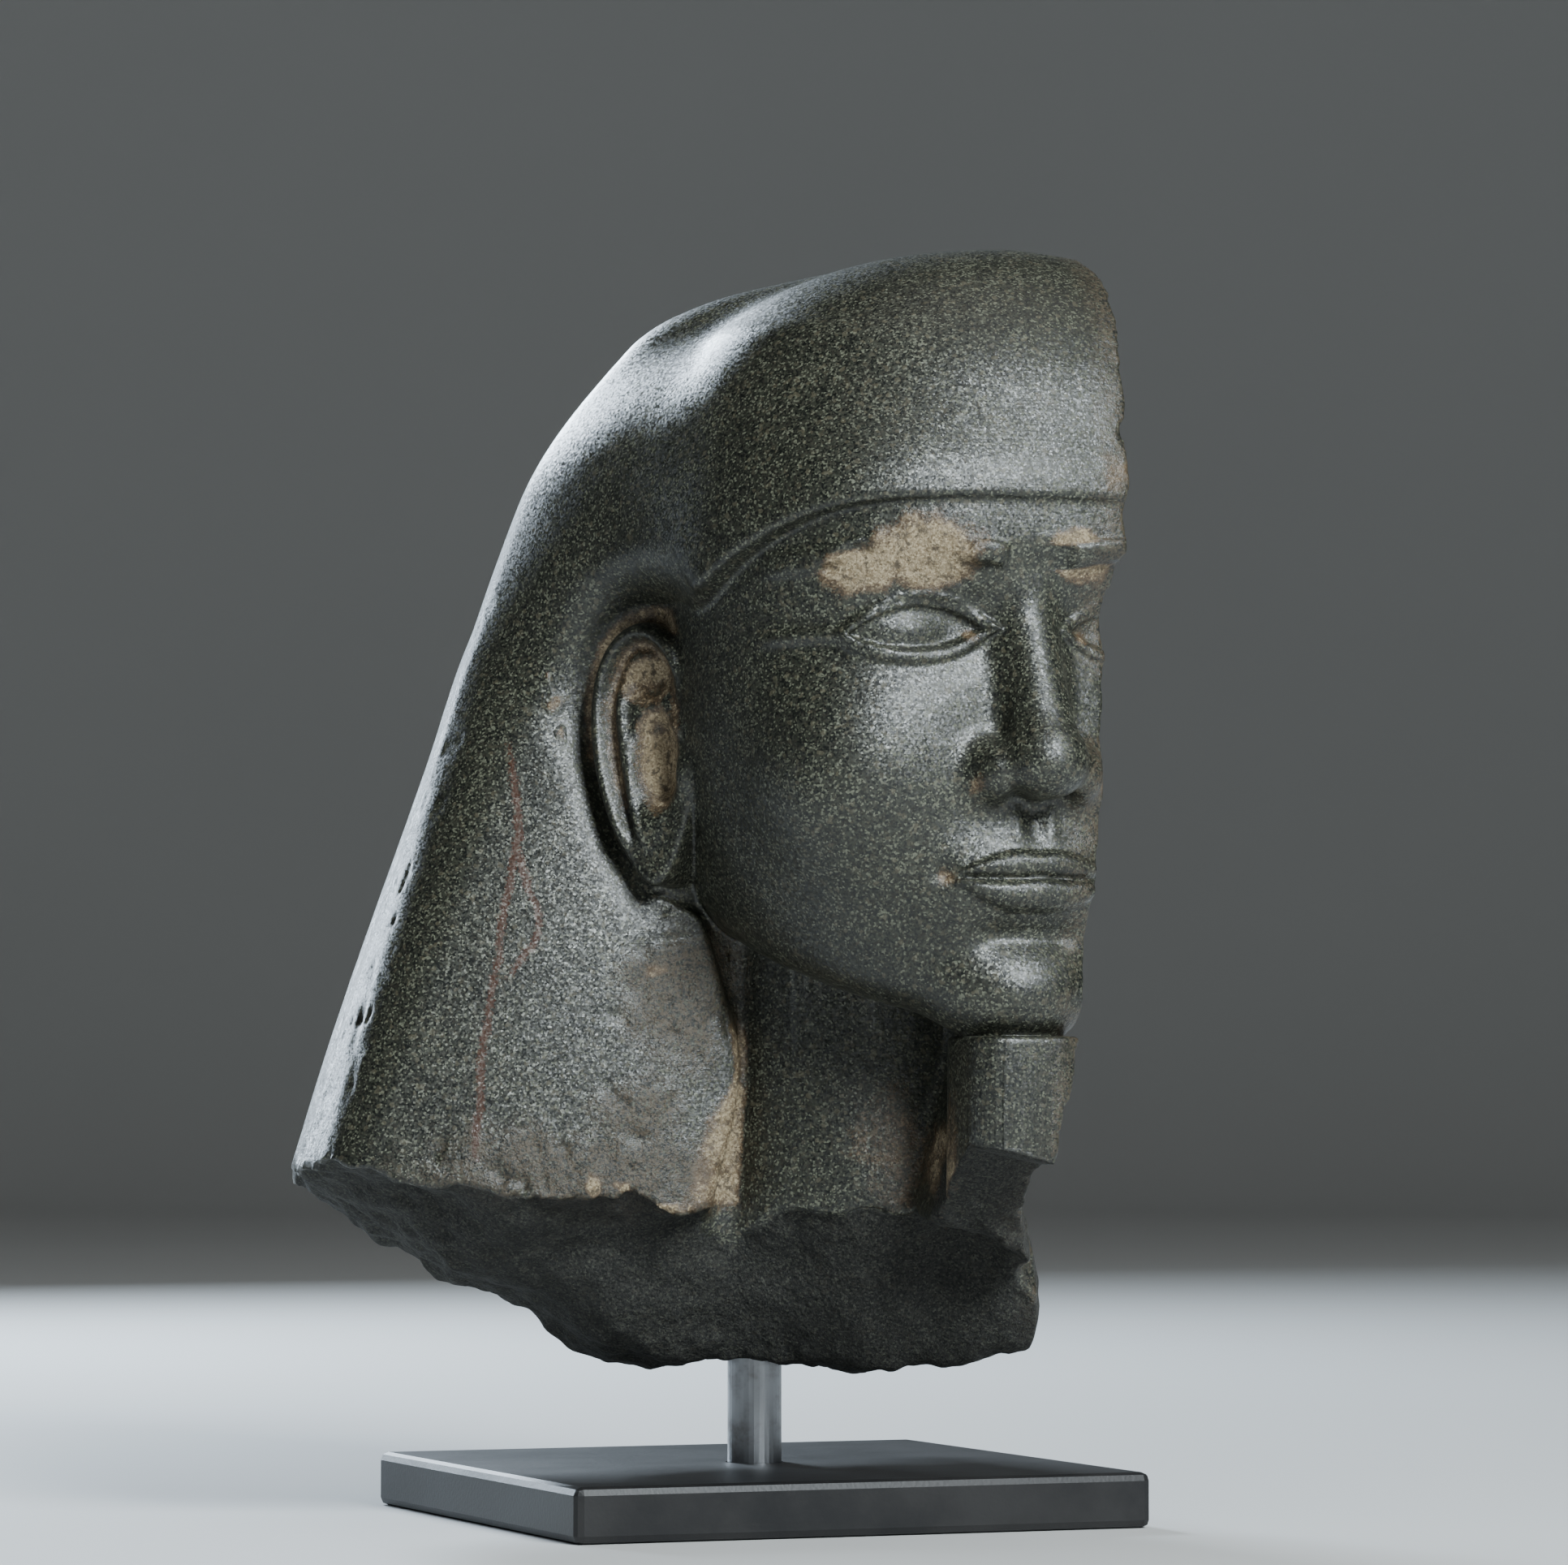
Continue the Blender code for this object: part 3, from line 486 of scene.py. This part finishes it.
def stone(x, y, z):
    """The whole stone in the head's frame, y to the back."""
    f = -y
    rough = fractal(x, y, z, 15.0, 3, 2)
    fine = 0.42 * noise(x, y, z, 3.6, 5) + 0.30 * noise(x, y, z, 1.8, 6)
    ledge = np.abs(noise(x, y, z, 8.0, 8))
    d = carved(x, f, z, rough) + wear(x, f, z)
    chips = step(noise(x, y, z, 4.0, 12), 0.15, 0.7) * bump(d, 1.6)
    crumb = fine + 0.5 * ledge - 0.25 + 0.8 * chips
    steps = np.abs(noise(x, y, z, 24.0, 15)) + 0.6 * np.abs(noise(x, y, z, 10.0, 16))
    scar = 2.2 * steps * step(-d, 2.0, 8.0)
    d = np.maximum(d, break_side(x, f, z, 0.9 * rough + 0.7 * crumb + scar))
    d = np.maximum(d, break_base(x, f, z, 1.4 * rough + crumb + 0.5 * scar))
    return np.maximum(d, -rod_hole(x, f, z))


# The field's zero surface as a mesh, with one point in each grid cell that it crosses.
def sample(field, low, high, cell, block=8):
    """The field on a grid. Blocks far from the surface keep one value."""
    low = np.array(low, float)
    blocks = np.ceil((np.array(high) - low) / (cell * block)).astype(int)
    axes = [low[i] + cell * np.arange(blocks[i] * block) for i in range(3)]
    half = cell * block / 2
    coarse = field(*np.meshgrid(*[a[::block] + half - cell / 2 for a in axes], indexing="ij"))
    values = np.repeat(coarse.astype(np.float32), block, 0).repeat(block, 1).repeat(block, 2)
    block_reach = half * 1.8 + 2.0
    near = np.argwhere(np.abs(coarse) < block_reach) * block
    inner = np.arange(block)
    blocks_at_once = 250

    def fill(start):
        ix, iy, iz = (near[start : start + blocks_at_once, i, None] + inner for i in range(3))
        at = (ix[:, :, None, None], iy[:, None, :, None], iz[:, None, None, :])
        zero = np.zeros((1, block, block, block))
        values[at] = field(*(axes[i][at[i]] + zero for i in range(3)))

    with ThreadPoolExecutor(4) as pool:
        list(pool.map(fill, range(0, len(near), blocks_at_once)))
    return values, low


def shifted(values, offsets):
    """The grid's values at one corner of each grid face; an offset of -1 keeps the whole of its axis."""
    spans = [slice(o, n - 1 + o) if o >= 0 else slice(None) for o, n in zip(offsets, values.shape)]
    return values[tuple(spans)]


def untangle(values, cell):
    """Grid faces whose corners alternate in sign would pinch the mesh, so they are opened."""
    for _ in range(30):
        found = 0
        for axis in range(3):
            ring = []
            for pair in ((0, 0), (1, 0), (1, 1), (0, 1)):
                at = list(pair)
                at.insert(axis, -1)
                ring.append(shifted(values, at))
            a, b, c, d = (v < 0 for v in ring)
            mixed = (a == c) & (b == d) & (a != b)
            found += int(mixed.sum())
            for v in ring:
                v[mixed & (v < 0)] = 0.1 * cell
        if not found:
            return


def surface_net(values, low, cell):
    """Four-sided faces across every grid edge that the surface crosses, and the points that they share."""
    inside = values < 0
    shape = values.shape
    strides = np.array([shape[1] * shape[2], shape[2], 1])
    quads, points = [], []
    for axis in range(3):
        first, second = [slice(None)] * 3, [slice(None)] * 3
        first[axis], second[axis] = slice(0, -1), slice(1, None)
        at = np.argwhere(inside[tuple(first)] != inside[tuple(second)])
        after = at.copy()
        after[:, axis] += 1
        v0, v1 = values[tuple(at.T)], values[tuple(after.T)]
        crossing = at.astype(float)
        crossing[:, axis] += v0 / (v0 - v1)
        corners = []
        for d1, d2 in ((-1, -1), (0, -1), (0, 0), (-1, 0)):
            cell_at = at.copy()
            cell_at[:, (axis + 1) % 3] += d1
            cell_at[:, (axis + 2) % 3] += d2
            corners.append(cell_at @ strides)
        corners = np.stack(corners, 1)
        corners[v0 >= 0] = corners[v0 >= 0][:, ::-1]
        quads.append(corners)
        points.append(np.repeat(crossing, 4, 0))
    quads, points = np.concatenate(quads), np.concatenate(points)
    _, index = np.unique(quads.ravel(), return_inverse=True)
    count = np.bincount(index)
    verts = np.stack([np.bincount(index, points[:, i]) / count for i in range(3)], 1)
    return verts * cell + low, index.reshape(-1, 4)


def largest_body(verts, faces):
    """The biggest connected piece: crumbs that the rough breaks set free are dropped."""
    label = np.arange(len(verts))
    while True:
        low = label[faces].min(1)
        after = label.copy()
        for i in range(4):
            np.minimum.at(after, faces[:, i], low)
        after = after[after]
        if (after == label).all():
            break
        label = after
    keep = label[faces[:, 0]] == np.bincount(label[faces[:, 0]]).argmax()
    used, index = np.unique(faces[keep], return_inverse=True)
    return verts[used], index.reshape(-1, 4)


def mesh_of(name, verts, faces):
    mesh = bpy.data.meshes.new(name)
    mesh.vertices.add(len(verts))
    mesh.vertices.foreach_set("co", np.ascontiguousarray(verts, np.float32).ravel())
    mesh.loops.add(faces.size)
    mesh.loops.foreach_set("vertex_index", np.ascontiguousarray(faces, np.int32).ravel())
    mesh.polygons.add(len(faces))
    mesh.polygons.foreach_set("loop_start", np.arange(0, faces.size, 4, dtype=np.int32))
    mesh.update(calc_edges=True)
    mesh.validate()
    return mesh


# Colour masks, kept on the mesh's points.
def broken_stone(x, m, f, z):
    """Below the carved, worn surface, and at the ends of the beard and the web."""
    rough = fractal(x, -f, z, 15.0, 3, 2)
    raw = step(-carved(x, f, z, rough) - wear(x, f, z), 0.25, 0.8)
    on_beard = step(-beard(m, f, z), -0.8, -0.1) * step(beard_end(x, f, z) + 0.5 * rough, -0.6, 0.0)
    on_web = step(-web(m, f, z) - 0.7 * rough, -1.0, -0.2) * step(-z, 14.0, 19.0) * step(f, 31, 35)
    return np.maximum(raw, np.maximum(on_beard, on_web))


def brow_dirt(u, m, f, z, ragged, fine):
    """On the broken brow, and round what is left of the other one."""
    tan = patch(u, z, (2.8, 66.8), (8.8, 4.8), ragged, 0.6)
    tan = np.maximum(tan, patch(u, z, (-6.2, 64.2), (5.2, 3.3), ragged, 0.6)) * 0.95
    stub = 1 - step(np.abs(z - brow_line(m)), 1.2, 1.9)
    around = patch(u, z, (25.5, 67.0), (5.2, 3.8), 0.5 * fine, 0.3)
    return np.maximum(tan, around * (1 - stub) * 0.8) * step(f, 30, 34)


def ear_dirt(x, m, f, z, ragged):
    """In the ear's hollows, and in a band behind and over it."""
    w, n, h, deep = ear_place(m, f, z)
    hollow = bump(deep - 3.6, 1.3) * step(h, -13.0, -4.0)
    bowl = 1 - step(np.sqrt(((w + 1.6) / 3.8) ** 2 + ((h + 0.6) / 8.6) ** 2), 0.6, 1.25)
    fork = 1 - step(np.sqrt(((w + 0.6) / 4.4) ** 2 + ((h - 10.6) / 3.7) ** 2), 0.7, 1.25)
    in_ear = np.maximum(hollow * 0.7, np.maximum(bowl, fork)) * step(ragged, -1.5, -0.2)
    in_ear = in_ear * step(4.0 - n, -3.0, 0.0)
    halo = step(deep, -3.4, -1.6) * (1 - step(deep, -0.3, 0.3)) * step(ragged, -1.3, -0.1)
    halo = halo * step(h, -5.0, 6.0) * step(12.0 - n, -2.0, 3.0)
    halo = halo * step(w + 0.5 * np.clip(h - 12.0, 0.0, 10.0), -6.0, -2.0)
    on_ear = step(n, -6.0, -3.0) * (1 - step(x, -30.0, -26.0))
    return np.maximum(in_ear * 0.95, halo * 0.9) * on_ear


def neck_dirt(x, u, m, f, z, ragged):
    """Along the lappet's edge, beside the web and on the neck."""
    low = step(-z, 5.0, 15.0)
    edge = window(m, f, z)
    lappet = step(edge, -1.6, -0.2) * (1 - step(edge, 0.8 + 2.6 * low, 2.4 + 4.6 * low))
    lappet = lappet * step(-z, -7.0, 3.0) * step(z, -28.0, -23.0) * (1 - step(x, -26.0, -20.0))
    lappet = lappet * (0.80 + 0.25 * ragged) * step(f, -8, -2)
    by_web = patch(u, z, (6.2, -20.0), (2.2, 9.0), ragged) * step(f, 10, 14)
    on_neck = patch(u, z, (-0.5, -15.5), (7.5, 9.5), ragged, 0.8) * step(f, 6, 12)
    return np.maximum(lappet, np.maximum(by_web * 0.8, on_neck * 0.50))


def face_dirt(m, f, z):
    """Small spots at the corners of the mouth, the nose and the eye."""
    corner = bump(np.sqrt((m - 13.0) ** 2 + (z - MOUTH_Z - 0.3) ** 2), 1.7) * step(f, 30, 36)
    wing = bump(np.sqrt((m - 9.6) ** 2 + ((z - NOSE_Z - 2.2) / 2.0) ** 2), 1.0) * step(f, 40, 44)
    eye = bump(np.sqrt((m - 8.6) ** 2 + (z - EYE_Z + 0.5) ** 2), 1.4) * step(f, 36, 40)
    return np.maximum(corner, np.maximum(wing, eye)) * 0.66


def masks(x, f, z):
    """tan: pale earthy dirt; raw: broken stone, which the material also darkens as painted shade; worn:
    brownish pitted surface.
    """
    m = np.abs(x)
    u = across(x, f)
    ragged = fractal(x, f, z, 5.0, 81, 3)
    fine = fractal(x, f, z, 1.6, 91, 2)
    raw = broken_stone(x, m, f, z)

    tan = np.maximum(brow_dirt(u, m, f, z, ragged, fine), ear_dirt(x, m, f, z, ragged))
    tan = np.maximum(tan, np.maximum(neck_dirt(x, u, m, f, z, ragged), face_dirt(m, f, z)))
    for across_at, up_at, wide, high, share in CHIPS:
        chip = patch(u, z, (across_at, up_at), (wide, high), fine) * step(f, -8, -2)
        tan = np.maximum(tan, chip * share)
    tan = tan * (1 - raw * 0.7)

    by_break = step(break_side(x, f, z, 0.0), -6.5, -1.0) * step(f, 10, 20)
    by_break = 0.8 * by_break * step(ragged + 0.3, -0.4, 0.4)
    worn = np.maximum(worn_places(x, f, z, ragged), by_break)
    return {"tan": tan, "raw": raw, "worn": worn}


def place_of_chin():
    """Where the head's own frame lies, in metres: the chin's height on the head's axis."""
    foot_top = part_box("mount_foot")[1].z * PER_METRE
    return Vector((-ROD_AT[0] * UNIT, -ROD_AT[1] * UNIT, foot_top + ROD_SHOWS - BREAK_LOW_Z * UNIT)) * MM


def schist_head():
    values, corner = sample(stone, GRID_LOW, GRID_HIGH, CELL)
    untangle(values, CELL)
    verts, faces = largest_body(*surface_net(values, corner, CELL))
    dense = mesh_of("dense", verts, faces)
    head = bpy.data.objects.new("schist_head_stone", dense)
    bpy.context.scene.collection.objects.link(head)
    fewer = head.modifiers.new("fewer", "DECIMATE")
    fewer.ratio = TRIANGLES / (2 * len(faces))
    graph = bpy.context.evaluated_depsgraph_get()
    mesh = bpy.data.meshes.new_from_object(head.evaluated_get(graph))
    head.modifiers.clear()
    head.data = mesh
    mesh.name = "schist_head_stone"
    bpy.data.meshes.remove(dense)

    co = np.empty(len(mesh.vertices) * 3, np.float32)
    mesh.vertices.foreach_get("co", co)
    x, y, z = co.reshape(-1, 3).T.astype(float)
    for name, value in masks(x, -y, z).items():
        layer = mesh.attributes.new(name, "FLOAT", "POINT")
        layer.data.foreach_set("value", np.clip(value, 0, 1).astype(np.float32))
    placed = co.reshape(-1, 3) * UNIT * MM + np.array(place_of_chin())
    mesh.vertices.foreach_set("co", placed.astype(np.float32).ravel())
    mesh.shade_smooth()
    mesh.update()
    mesh.materials.append(schist())
    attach(head, "root")
    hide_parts("schist_head")
    return head


# Materials.
class Nodes:
    """Short ways to write a material's nodes."""

    def __init__(self, name):
        self.material = bpy.data.materials.new(name)
        self.material.use_nodes = True
        self.tree = self.material.node_tree
        self.shader = self.tree.nodes["Principled BSDF"]
        self.place = self.tree.nodes.new("ShaderNodeTexCoord").outputs["Object"]

    def link(self, source, socket):
        if isinstance(source, bpy.types.NodeSocket):
            self.tree.links.new(source, socket)
        elif isinstance(source, tuple):
            socket.default_value = (*source, 1.0) if len(socket.default_value) == 4 else source
        else:
            socket.default_value = source

    def math(self, kind, a, b=0.0, c=0.0, clamp=False):
        node = self.tree.nodes.new("ShaderNodeMath")
        node.operation = kind
        node.use_clamp = clamp
        for value, socket in zip((a, b, c), node.inputs):
            self.link(value, socket)
        return node.outputs[0]

    def scaled(self, factors):
        node = self.tree.nodes.new("ShaderNodeMapping")
        self.link(self.place, node.inputs["Vector"])
        node.inputs["Scale"].default_value = factors
        return node.outputs[0]

    def noise(self, scale, detail=2.0, roughness=0.5, vector=None, distortion=0.0):
        node = self.tree.nodes.new("ShaderNodeTexNoise")
        self.link(vector or self.place, node.inputs["Vector"])
        node.inputs["Scale"].default_value = scale
        node.inputs["Detail"].default_value = detail
        node.inputs["Roughness"].default_value = roughness
        node.inputs["Distortion"].default_value = distortion
        return node.outputs["Fac"]

    def grains(self, scale):
        """Two random numbers for each grain, and a random colour."""
        node = self.tree.nodes.new("ShaderNodeTexVoronoi")
        self.link(self.place, node.inputs["Vector"])
        node.inputs["Scale"].default_value = scale
        split = self.tree.nodes.new("ShaderNodeSeparateColor")
        self.link(node.outputs["Color"], split.inputs[0])
        return split.outputs[0], split.outputs[1], node.outputs["Color"]

    def vector(self, kind, a, b):
        node = self.tree.nodes.new("ShaderNodeVectorMath")
        node.operation = kind
        self.link(a, node.inputs[0])
        self.link(b, node.inputs["Scale" if kind == "SCALE" else 1])
        return node.outputs[0]

    def facets(self, tilt, strength):
        """The surface's normal, leaned a little its own way on each grain."""
        lean = self.vector("SCALE", self.vector("SUBTRACT", tilt, (0.5, 0.5, 0.5)), strength)
        normal = self.tree.nodes.new("ShaderNodeNewGeometry").outputs["Normal"]
        return self.vector("NORMALIZE", self.vector("ADD", normal, lean), (0.0, 0.0, 0.0))

    def along(self, value, knots, low, high):
        """A smooth curve through (value, result) knots; results lie between low and high."""
        first, last = knots[0][0], knots[-1][0]
        node = self.tree.nodes.new("ShaderNodeFloatCurve")
        points = node.mapping.curves[0].points
        while len(points) < len(knots):
            points.new(0.5, 0.5)
        for point, (at, result) in zip(points, knots):
            point.location = ((at - first) / (last - first), (result - low) / (high - low))
        node.mapping.update()
        share = self.math("DIVIDE", self.math("SUBTRACT", value, first), last - first, clamp=True)
        self.link(share, node.inputs["Value"])
        return self.math("MULTIPLY_ADD", node.outputs[0], high - low, low)

    def smooth(self, value, low, high):
        node = self.tree.nodes.new("ShaderNodeMapRange")
        node.interpolation_type = "SMOOTHSTEP"
        for v, name in ((value, "Value"), (low, "From Min"), (high, "From Max")):
            self.link(v, node.inputs[name])
        return node.outputs["Result"]

    def mix(self, factor, a, b):
        node = self.tree.nodes.new("ShaderNodeMix")
        node.data_type = "RGBA"
        self.link(factor, node.inputs["Factor"])
        self.link(a, node.inputs[6])
        self.link(b, node.inputs[7])
        return node.outputs[2]

    def attribute(self, name):
        node = self.tree.nodes.new("ShaderNodeAttribute")
        node.attribute_name = name
        return node.outputs["Fac"]

    def bump(self, height, distance, normal=None):
        node = self.tree.nodes.new("ShaderNodeBump")
        node.inputs["Distance"].default_value = distance
        self.link(height, node.inputs["Height"])
        if normal:
            self.link(normal, node.inputs["Normal"])
        return node.outputs["Normal"]

    def surface(self, **values):
        """Sets the shader's sockets by their names in small letters."""
        for name, value in values.items():
            self.link(value, self.shader.inputs[name.replace("_", " ").title().replace("Ior", "IOR")])
        return self.material


def veins(n):
    """Two thin lines down the wig's front, by height and place across, in units."""
    split = n.tree.nodes.new("ShaderNodeSeparateXYZ")
    n.link(n.place, split.inputs[0])
    chin = place_of_chin()
    scale = PER_METRE / UNIT
    x, y, z = (n.math("MULTIPLY_ADD", split.outputs[i], scale, -chin[i] * scale) for i in range(3))
    u = n.math("MULTIPLY_ADD", x, np.cos(QUARTER), n.math("MULTIPLY", y, -np.sin(QUARTER)))
    wander = n.math("MULTIPLY", n.math("SUBTRACT", n.noise(260, 4, 0.6), 0.5), 2.2)
    total = None
    for knots in VEINS:
        off = n.math("SUBTRACT", n.math("ADD", u, wander), n.along(z, knots, -64.0, -48.0))
        line = n.smooth(n.math("ABSOLUTE", off), 1.2, 0.1)
        line = n.math("MULTIPLY", line, n.smooth(z, knots[0][0], knots[0][0] + 4.0))
        line = n.math("MULTIPLY", line, n.smooth(z, knots[-1][0], knots[-1][0] - 5.0))
        total = line if total is None else n.math("MAXIMUM", total, line)
    return n.math("MULTIPLY", total, n.smooth(y, 6.0, 1.0))


def speckled(n, grain, hue):
    """The worked stone: near black, with pale green and brownish grains."""
    speck, _, _ = n.grains(1700)
    light = n.math("MULTIPLY_ADD", n.math("SUBTRACT", n.noise(90, 4, 0.6), 0.5), 0.40, grain)
    colour = n.mix(n.smooth(light, 0.10, 0.70), (0.004, 0.005, 0.004), (0.027, 0.029, 0.020))
    colour = n.mix(n.math("MULTIPLY", n.smooth(light, 0.75, 0.98), 0.90), colour, (0.125, 0.130, 0.092))
    colour = n.mix(n.math("MULTIPLY", n.smooth(speck, 0.90, 0.97), 0.40), colour, (0.125, 0.110, 0.070))
    return n.mix(n.math("MULTIPLY", n.smooth(hue, 0.55, 1.0), 0.40), colour, (0.048, 0.041, 0.027))


def damage_and_shade(n, colour, grain, hue, fine, raw, worn):
    """Brownish where the surface is pitted; where the stone is broken, a dull fracture colour darkened as
    painted shade.
    """
    brown = n.math("MULTIPLY", worn, n.smooth(n.math("MULTIPLY_ADD", hue, 0.5, fine), 0.55, 0.95))
    colour = n.mix(n.math("MULTIPLY", worn, 0.35), colour, (0.010, 0.009, 0.007))
    colour = n.mix(n.math("MULTIPLY", brown, 0.75), colour, (0.090, 0.066, 0.040))
    # Broken stone: dull fracture grey-green, kept darker than the worked stone as painted shade of unlit
    # breaks.
    broken = n.mix(grain, (0.004, 0.004, 0.004), (0.027, 0.027, 0.023))
    return n.mix(n.math("MULTIPLY", raw, 0.75), colour, broken)


def veined(n, colour, hue, fine, raw):
    """The red-brown veins, broken up by the grains."""
    red = n.math("MULTIPLY", veins(n), n.math("SUBTRACT", 1.0, raw))
    red = n.math("MULTIPLY_ADD", hue, -0.75, n.math("MULTIPLY_ADD", fine, -0.8, n.math("ADD", red, 0.35)))
    return n.mix(n.math("MULTIPLY", n.smooth(red, 0.0, 0.40), 0.65), colour, (0.072, 0.025, 0.012))


def dusted(n, colour, grain, hue, tan):
    """Pale earth with a brown stain round it; gives the colour and how thick the earth lies."""
    patchy = n.math("MULTIPLY_ADD", hue, 0.32, n.noise(420, 5, 0.72))
    reach = n.math("MULTIPLY_ADD", tan, 1.22, n.math("MULTIPLY", patchy, -1.0))
    dust = n.smooth(reach, 0.0, 0.42)
    stain = n.smooth(reach, -0.30, 0.12)
    colour = n.mix(n.math("MULTIPLY", stain, 0.65), colour, (0.120, 0.072, 0.036))
    earth = n.mix(grain, (0.180, 0.132, 0.074), (0.430, 0.350, 0.225))
    earth = n.mix(n.smooth(n.noise(800, 4, 0.7), 0.36, 0.50), (0.085, 0.066, 0.042), earth)
    return n.mix(n.math("MULTIPLY", dust, 0.92), colour, earth), dust


def schist():
    n = Nodes("schist_worked")
    tan, raw, worn = (n.attribute(name) for name in ("tan", "raw", "worn"))
    grain, hue, tilt = n.grains(3600)
    fine = n.noise(1300, 4, 0.65)
    strokes = n.noise(1.0, 3, 0.55, n.scaled((90, 90, 1500)), 0.8)

    colour = damage_and_shade(n, speckled(n, grain, hue), grain, hue, fine, raw, worn)
    colour = veined(n, colour, hue, fine, raw)
    colour, dust = dusted(n, colour, grain, hue, tan)

    rough = n.math("MULTIPLY_ADD", hue, 0.24, 0.30)
    rough = n.math("MAXIMUM", rough, n.math("MULTIPLY", n.math("MAXIMUM", dust, raw), 0.88))
    rough = n.math("MAXIMUM", rough, n.math("MULTIPLY", worn, 0.55))
    skin = n.math("MULTIPLY_ADD", n.math("SUBTRACT", 1.0, raw), n.math("MULTIPLY", strokes, 0.6), fine)
    normal = n.bump(skin, 0.00006, n.facets(tilt, 0.24))
    crumbly = n.math("MAXIMUM", n.math("MAXIMUM", raw, tan), n.math("MULTIPLY", worn, 0.7))
    normal = n.bump(n.math("MULTIPLY", crumbly, n.noise(900, 4, 0.7)), 0.0005, normal)
    return n.surface(base_color=colour, roughness=rough, normal=normal, specular_ior_level=0.6)


def rod_steel():
    n = Nodes("rod_steel_brushed")
    brushed = n.noise(1.0, 3, 0.6, n.scaled((1400, 1400, 60)))
    stain = n.noise(160, 4, 0.65)
    colour = n.mix(n.smooth(stain, 0.45, 0.75), (0.36, 0.37, 0.39), (0.20, 0.19, 0.18))
    rough = n.math("MULTIPLY_ADD", brushed, 0.22, n.math("MULTIPLY_ADD", stain, 0.20, 0.14))
    return n.surface(base_color=colour, metallic=1.0, roughness=rough, normal=n.bump(brushed, 0.00002))


def foot_black():
    n = Nodes("foot_black_steel")
    mottle = n.noise(60, 5, 0.65)
    grit = n.noise(1800, 2, 0.5)
    colour = n.mix(n.smooth(mottle, 0.35, 0.7), (0.013, 0.013, 0.014), (0.026, 0.025, 0.025))
    rough = n.math("MULTIPLY_ADD", mottle, 0.18, 0.36)
    return n.surface(base_color=colour, metallic=0.25, roughness=rough, normal=n.bump(grit, 0.00003))


def dress(node, material):
    """Gives a solid of the frame its material."""
    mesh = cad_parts[node].data
    mesh.materials.clear()
    mesh.materials.append(material)


# The studio: a pale floor that curves up all round, soft lights and the camera.
def cove():
    radius, curve, wall, sides = 2.2, 0.9, 2.6, 96
    bend = np.linspace(0, np.pi / 2, 13)
    profile = [(0.5, 0.0), (1.2, 0.0)]
    profile += [(radius + curve * np.sin(t), curve * (1 - np.cos(t))) for t in bend]
    profile.append((radius + curve, wall))
    turn = np.arange(sides) * 2 * np.pi / sides
    verts = [(r * np.cos(t), r * np.sin(t), z) for r, z in profile for t in turn]
    faces = [tuple(range(sides))]
    for i in range(len(profile) - 1):
        for k in range(sides):
            after = (k + 1) % sides
            faces.append((i * sides + k, (i + 1) * sides + k, (i + 1) * sides + after, i * sides + after))
    mesh = bpy.data.meshes.new("studio_floor")
    mesh.from_pydata(verts, [], faces)
    mesh.shade_smooth()
    floor = bpy.data.objects.new("studio_floor", mesh)
    bpy.context.scene.collection.objects.link(floor)
    n = Nodes("pale_floor")
    tone = n.noise(3, 2, 0.5)
    pale = n.mix(tone, (0.60, 0.60, 0.59), (0.64, 0.64, 0.63))
    mesh.materials.append(n.surface(base_color=pale, roughness=0.75))


AIM = Vector((0.0, 0.0, 0.11))


def direction(azimuth, elevation):
    """The way out to a light or the camera: azimuth 0 is the front, and it grows to the sitter's left."""
    level = np.cos(elevation)
    return Vector((np.sin(azimuth) * level, -np.cos(azimuth) * level, np.sin(elevation)))


def soft_light(name, azimuth, elevation, distance, size, power, colour=(1.0, 1.0, 1.0)):
    """A square soft light that faces the head, at an azimuth and elevation in degrees."""
    back = direction(np.radians(azimuth), np.radians(elevation))
    data = bpy.data.lights.new(name, "AREA")
    data.size = size
    data.energy = power
    data.color = colour
    light = bpy.data.objects.new(name, data)
    light.location = AIM + back * distance
    light.rotation_euler = back.to_track_quat("Z", "Y").to_euler()
    light.visible_camera = False
    bpy.context.scene.collection.objects.link(light)


def lights():
    cool = (0.74, 0.87, 1.0)
    soft_light("key", 9, 31, 0.9, 0.30, 13.5, (0.88, 0.96, 1.0))
    soft_light("rim", -178, 26, 0.9, 0.16, 10.0, cool)
    soft_light("side", -162, 10, 0.9, 0.18, 4.0, cool)
    soft_light("top", 60, 80, 1.6, 1.0, 3.0, (1.0, 0.98, 0.94))
    world = bpy.data.worlds.new("studio")
    world.use_nodes = True
    world.node_tree.nodes["Background"].inputs["Color"].default_value = (0.92, 0.92, 0.90, 1.0)
    world.node_tree.nodes["Background"].inputs["Strength"].default_value = 0.05
    bpy.context.scene.world = world


def camera():
    """At the photograph's angle and framing, by the size of one of its pixels at the head's axis."""
    azimuth, elevation = -QUARTER, np.radians(-3.0)
    lens, sensor_wide = 135.0, 36.0
    frame_wide, frame_high = 1932, 1928
    one_pixel = 0.12 * UNIT * MM
    chin_at = (1103, 1275)
    back = direction(azimuth, elevation)
    right = Vector((np.cos(azimuth), np.sin(azimuth), 0.0))
    up = back.cross(right)
    chin = place_of_chin()
    data = bpy.data.cameras.new("camera")
    data.lens = lens
    data.sensor_width = sensor_wide
    distance = frame_wide * one_pixel / (sensor_wide / lens)
    target = chin + right * ((frame_wide / 2 - chin_at[0]) * one_pixel)
    target += up * ((chin_at[1] - frame_high / 2) * one_pixel)
    made = bpy.data.objects.new("camera", data)
    made.location = target + back * distance
    made.rotation_mode = "QUATERNION"
    made.rotation_quaternion = back.to_track_quat("Z", "Y")
    data.clip_start = 0.01
    bpy.context.scene.collection.objects.link(made)
    bpy.context.scene.camera = made


schist_head()
dress("mount_rod", rod_steel())
dress("mount_foot", foot_black())
cove()
lights()
camera()
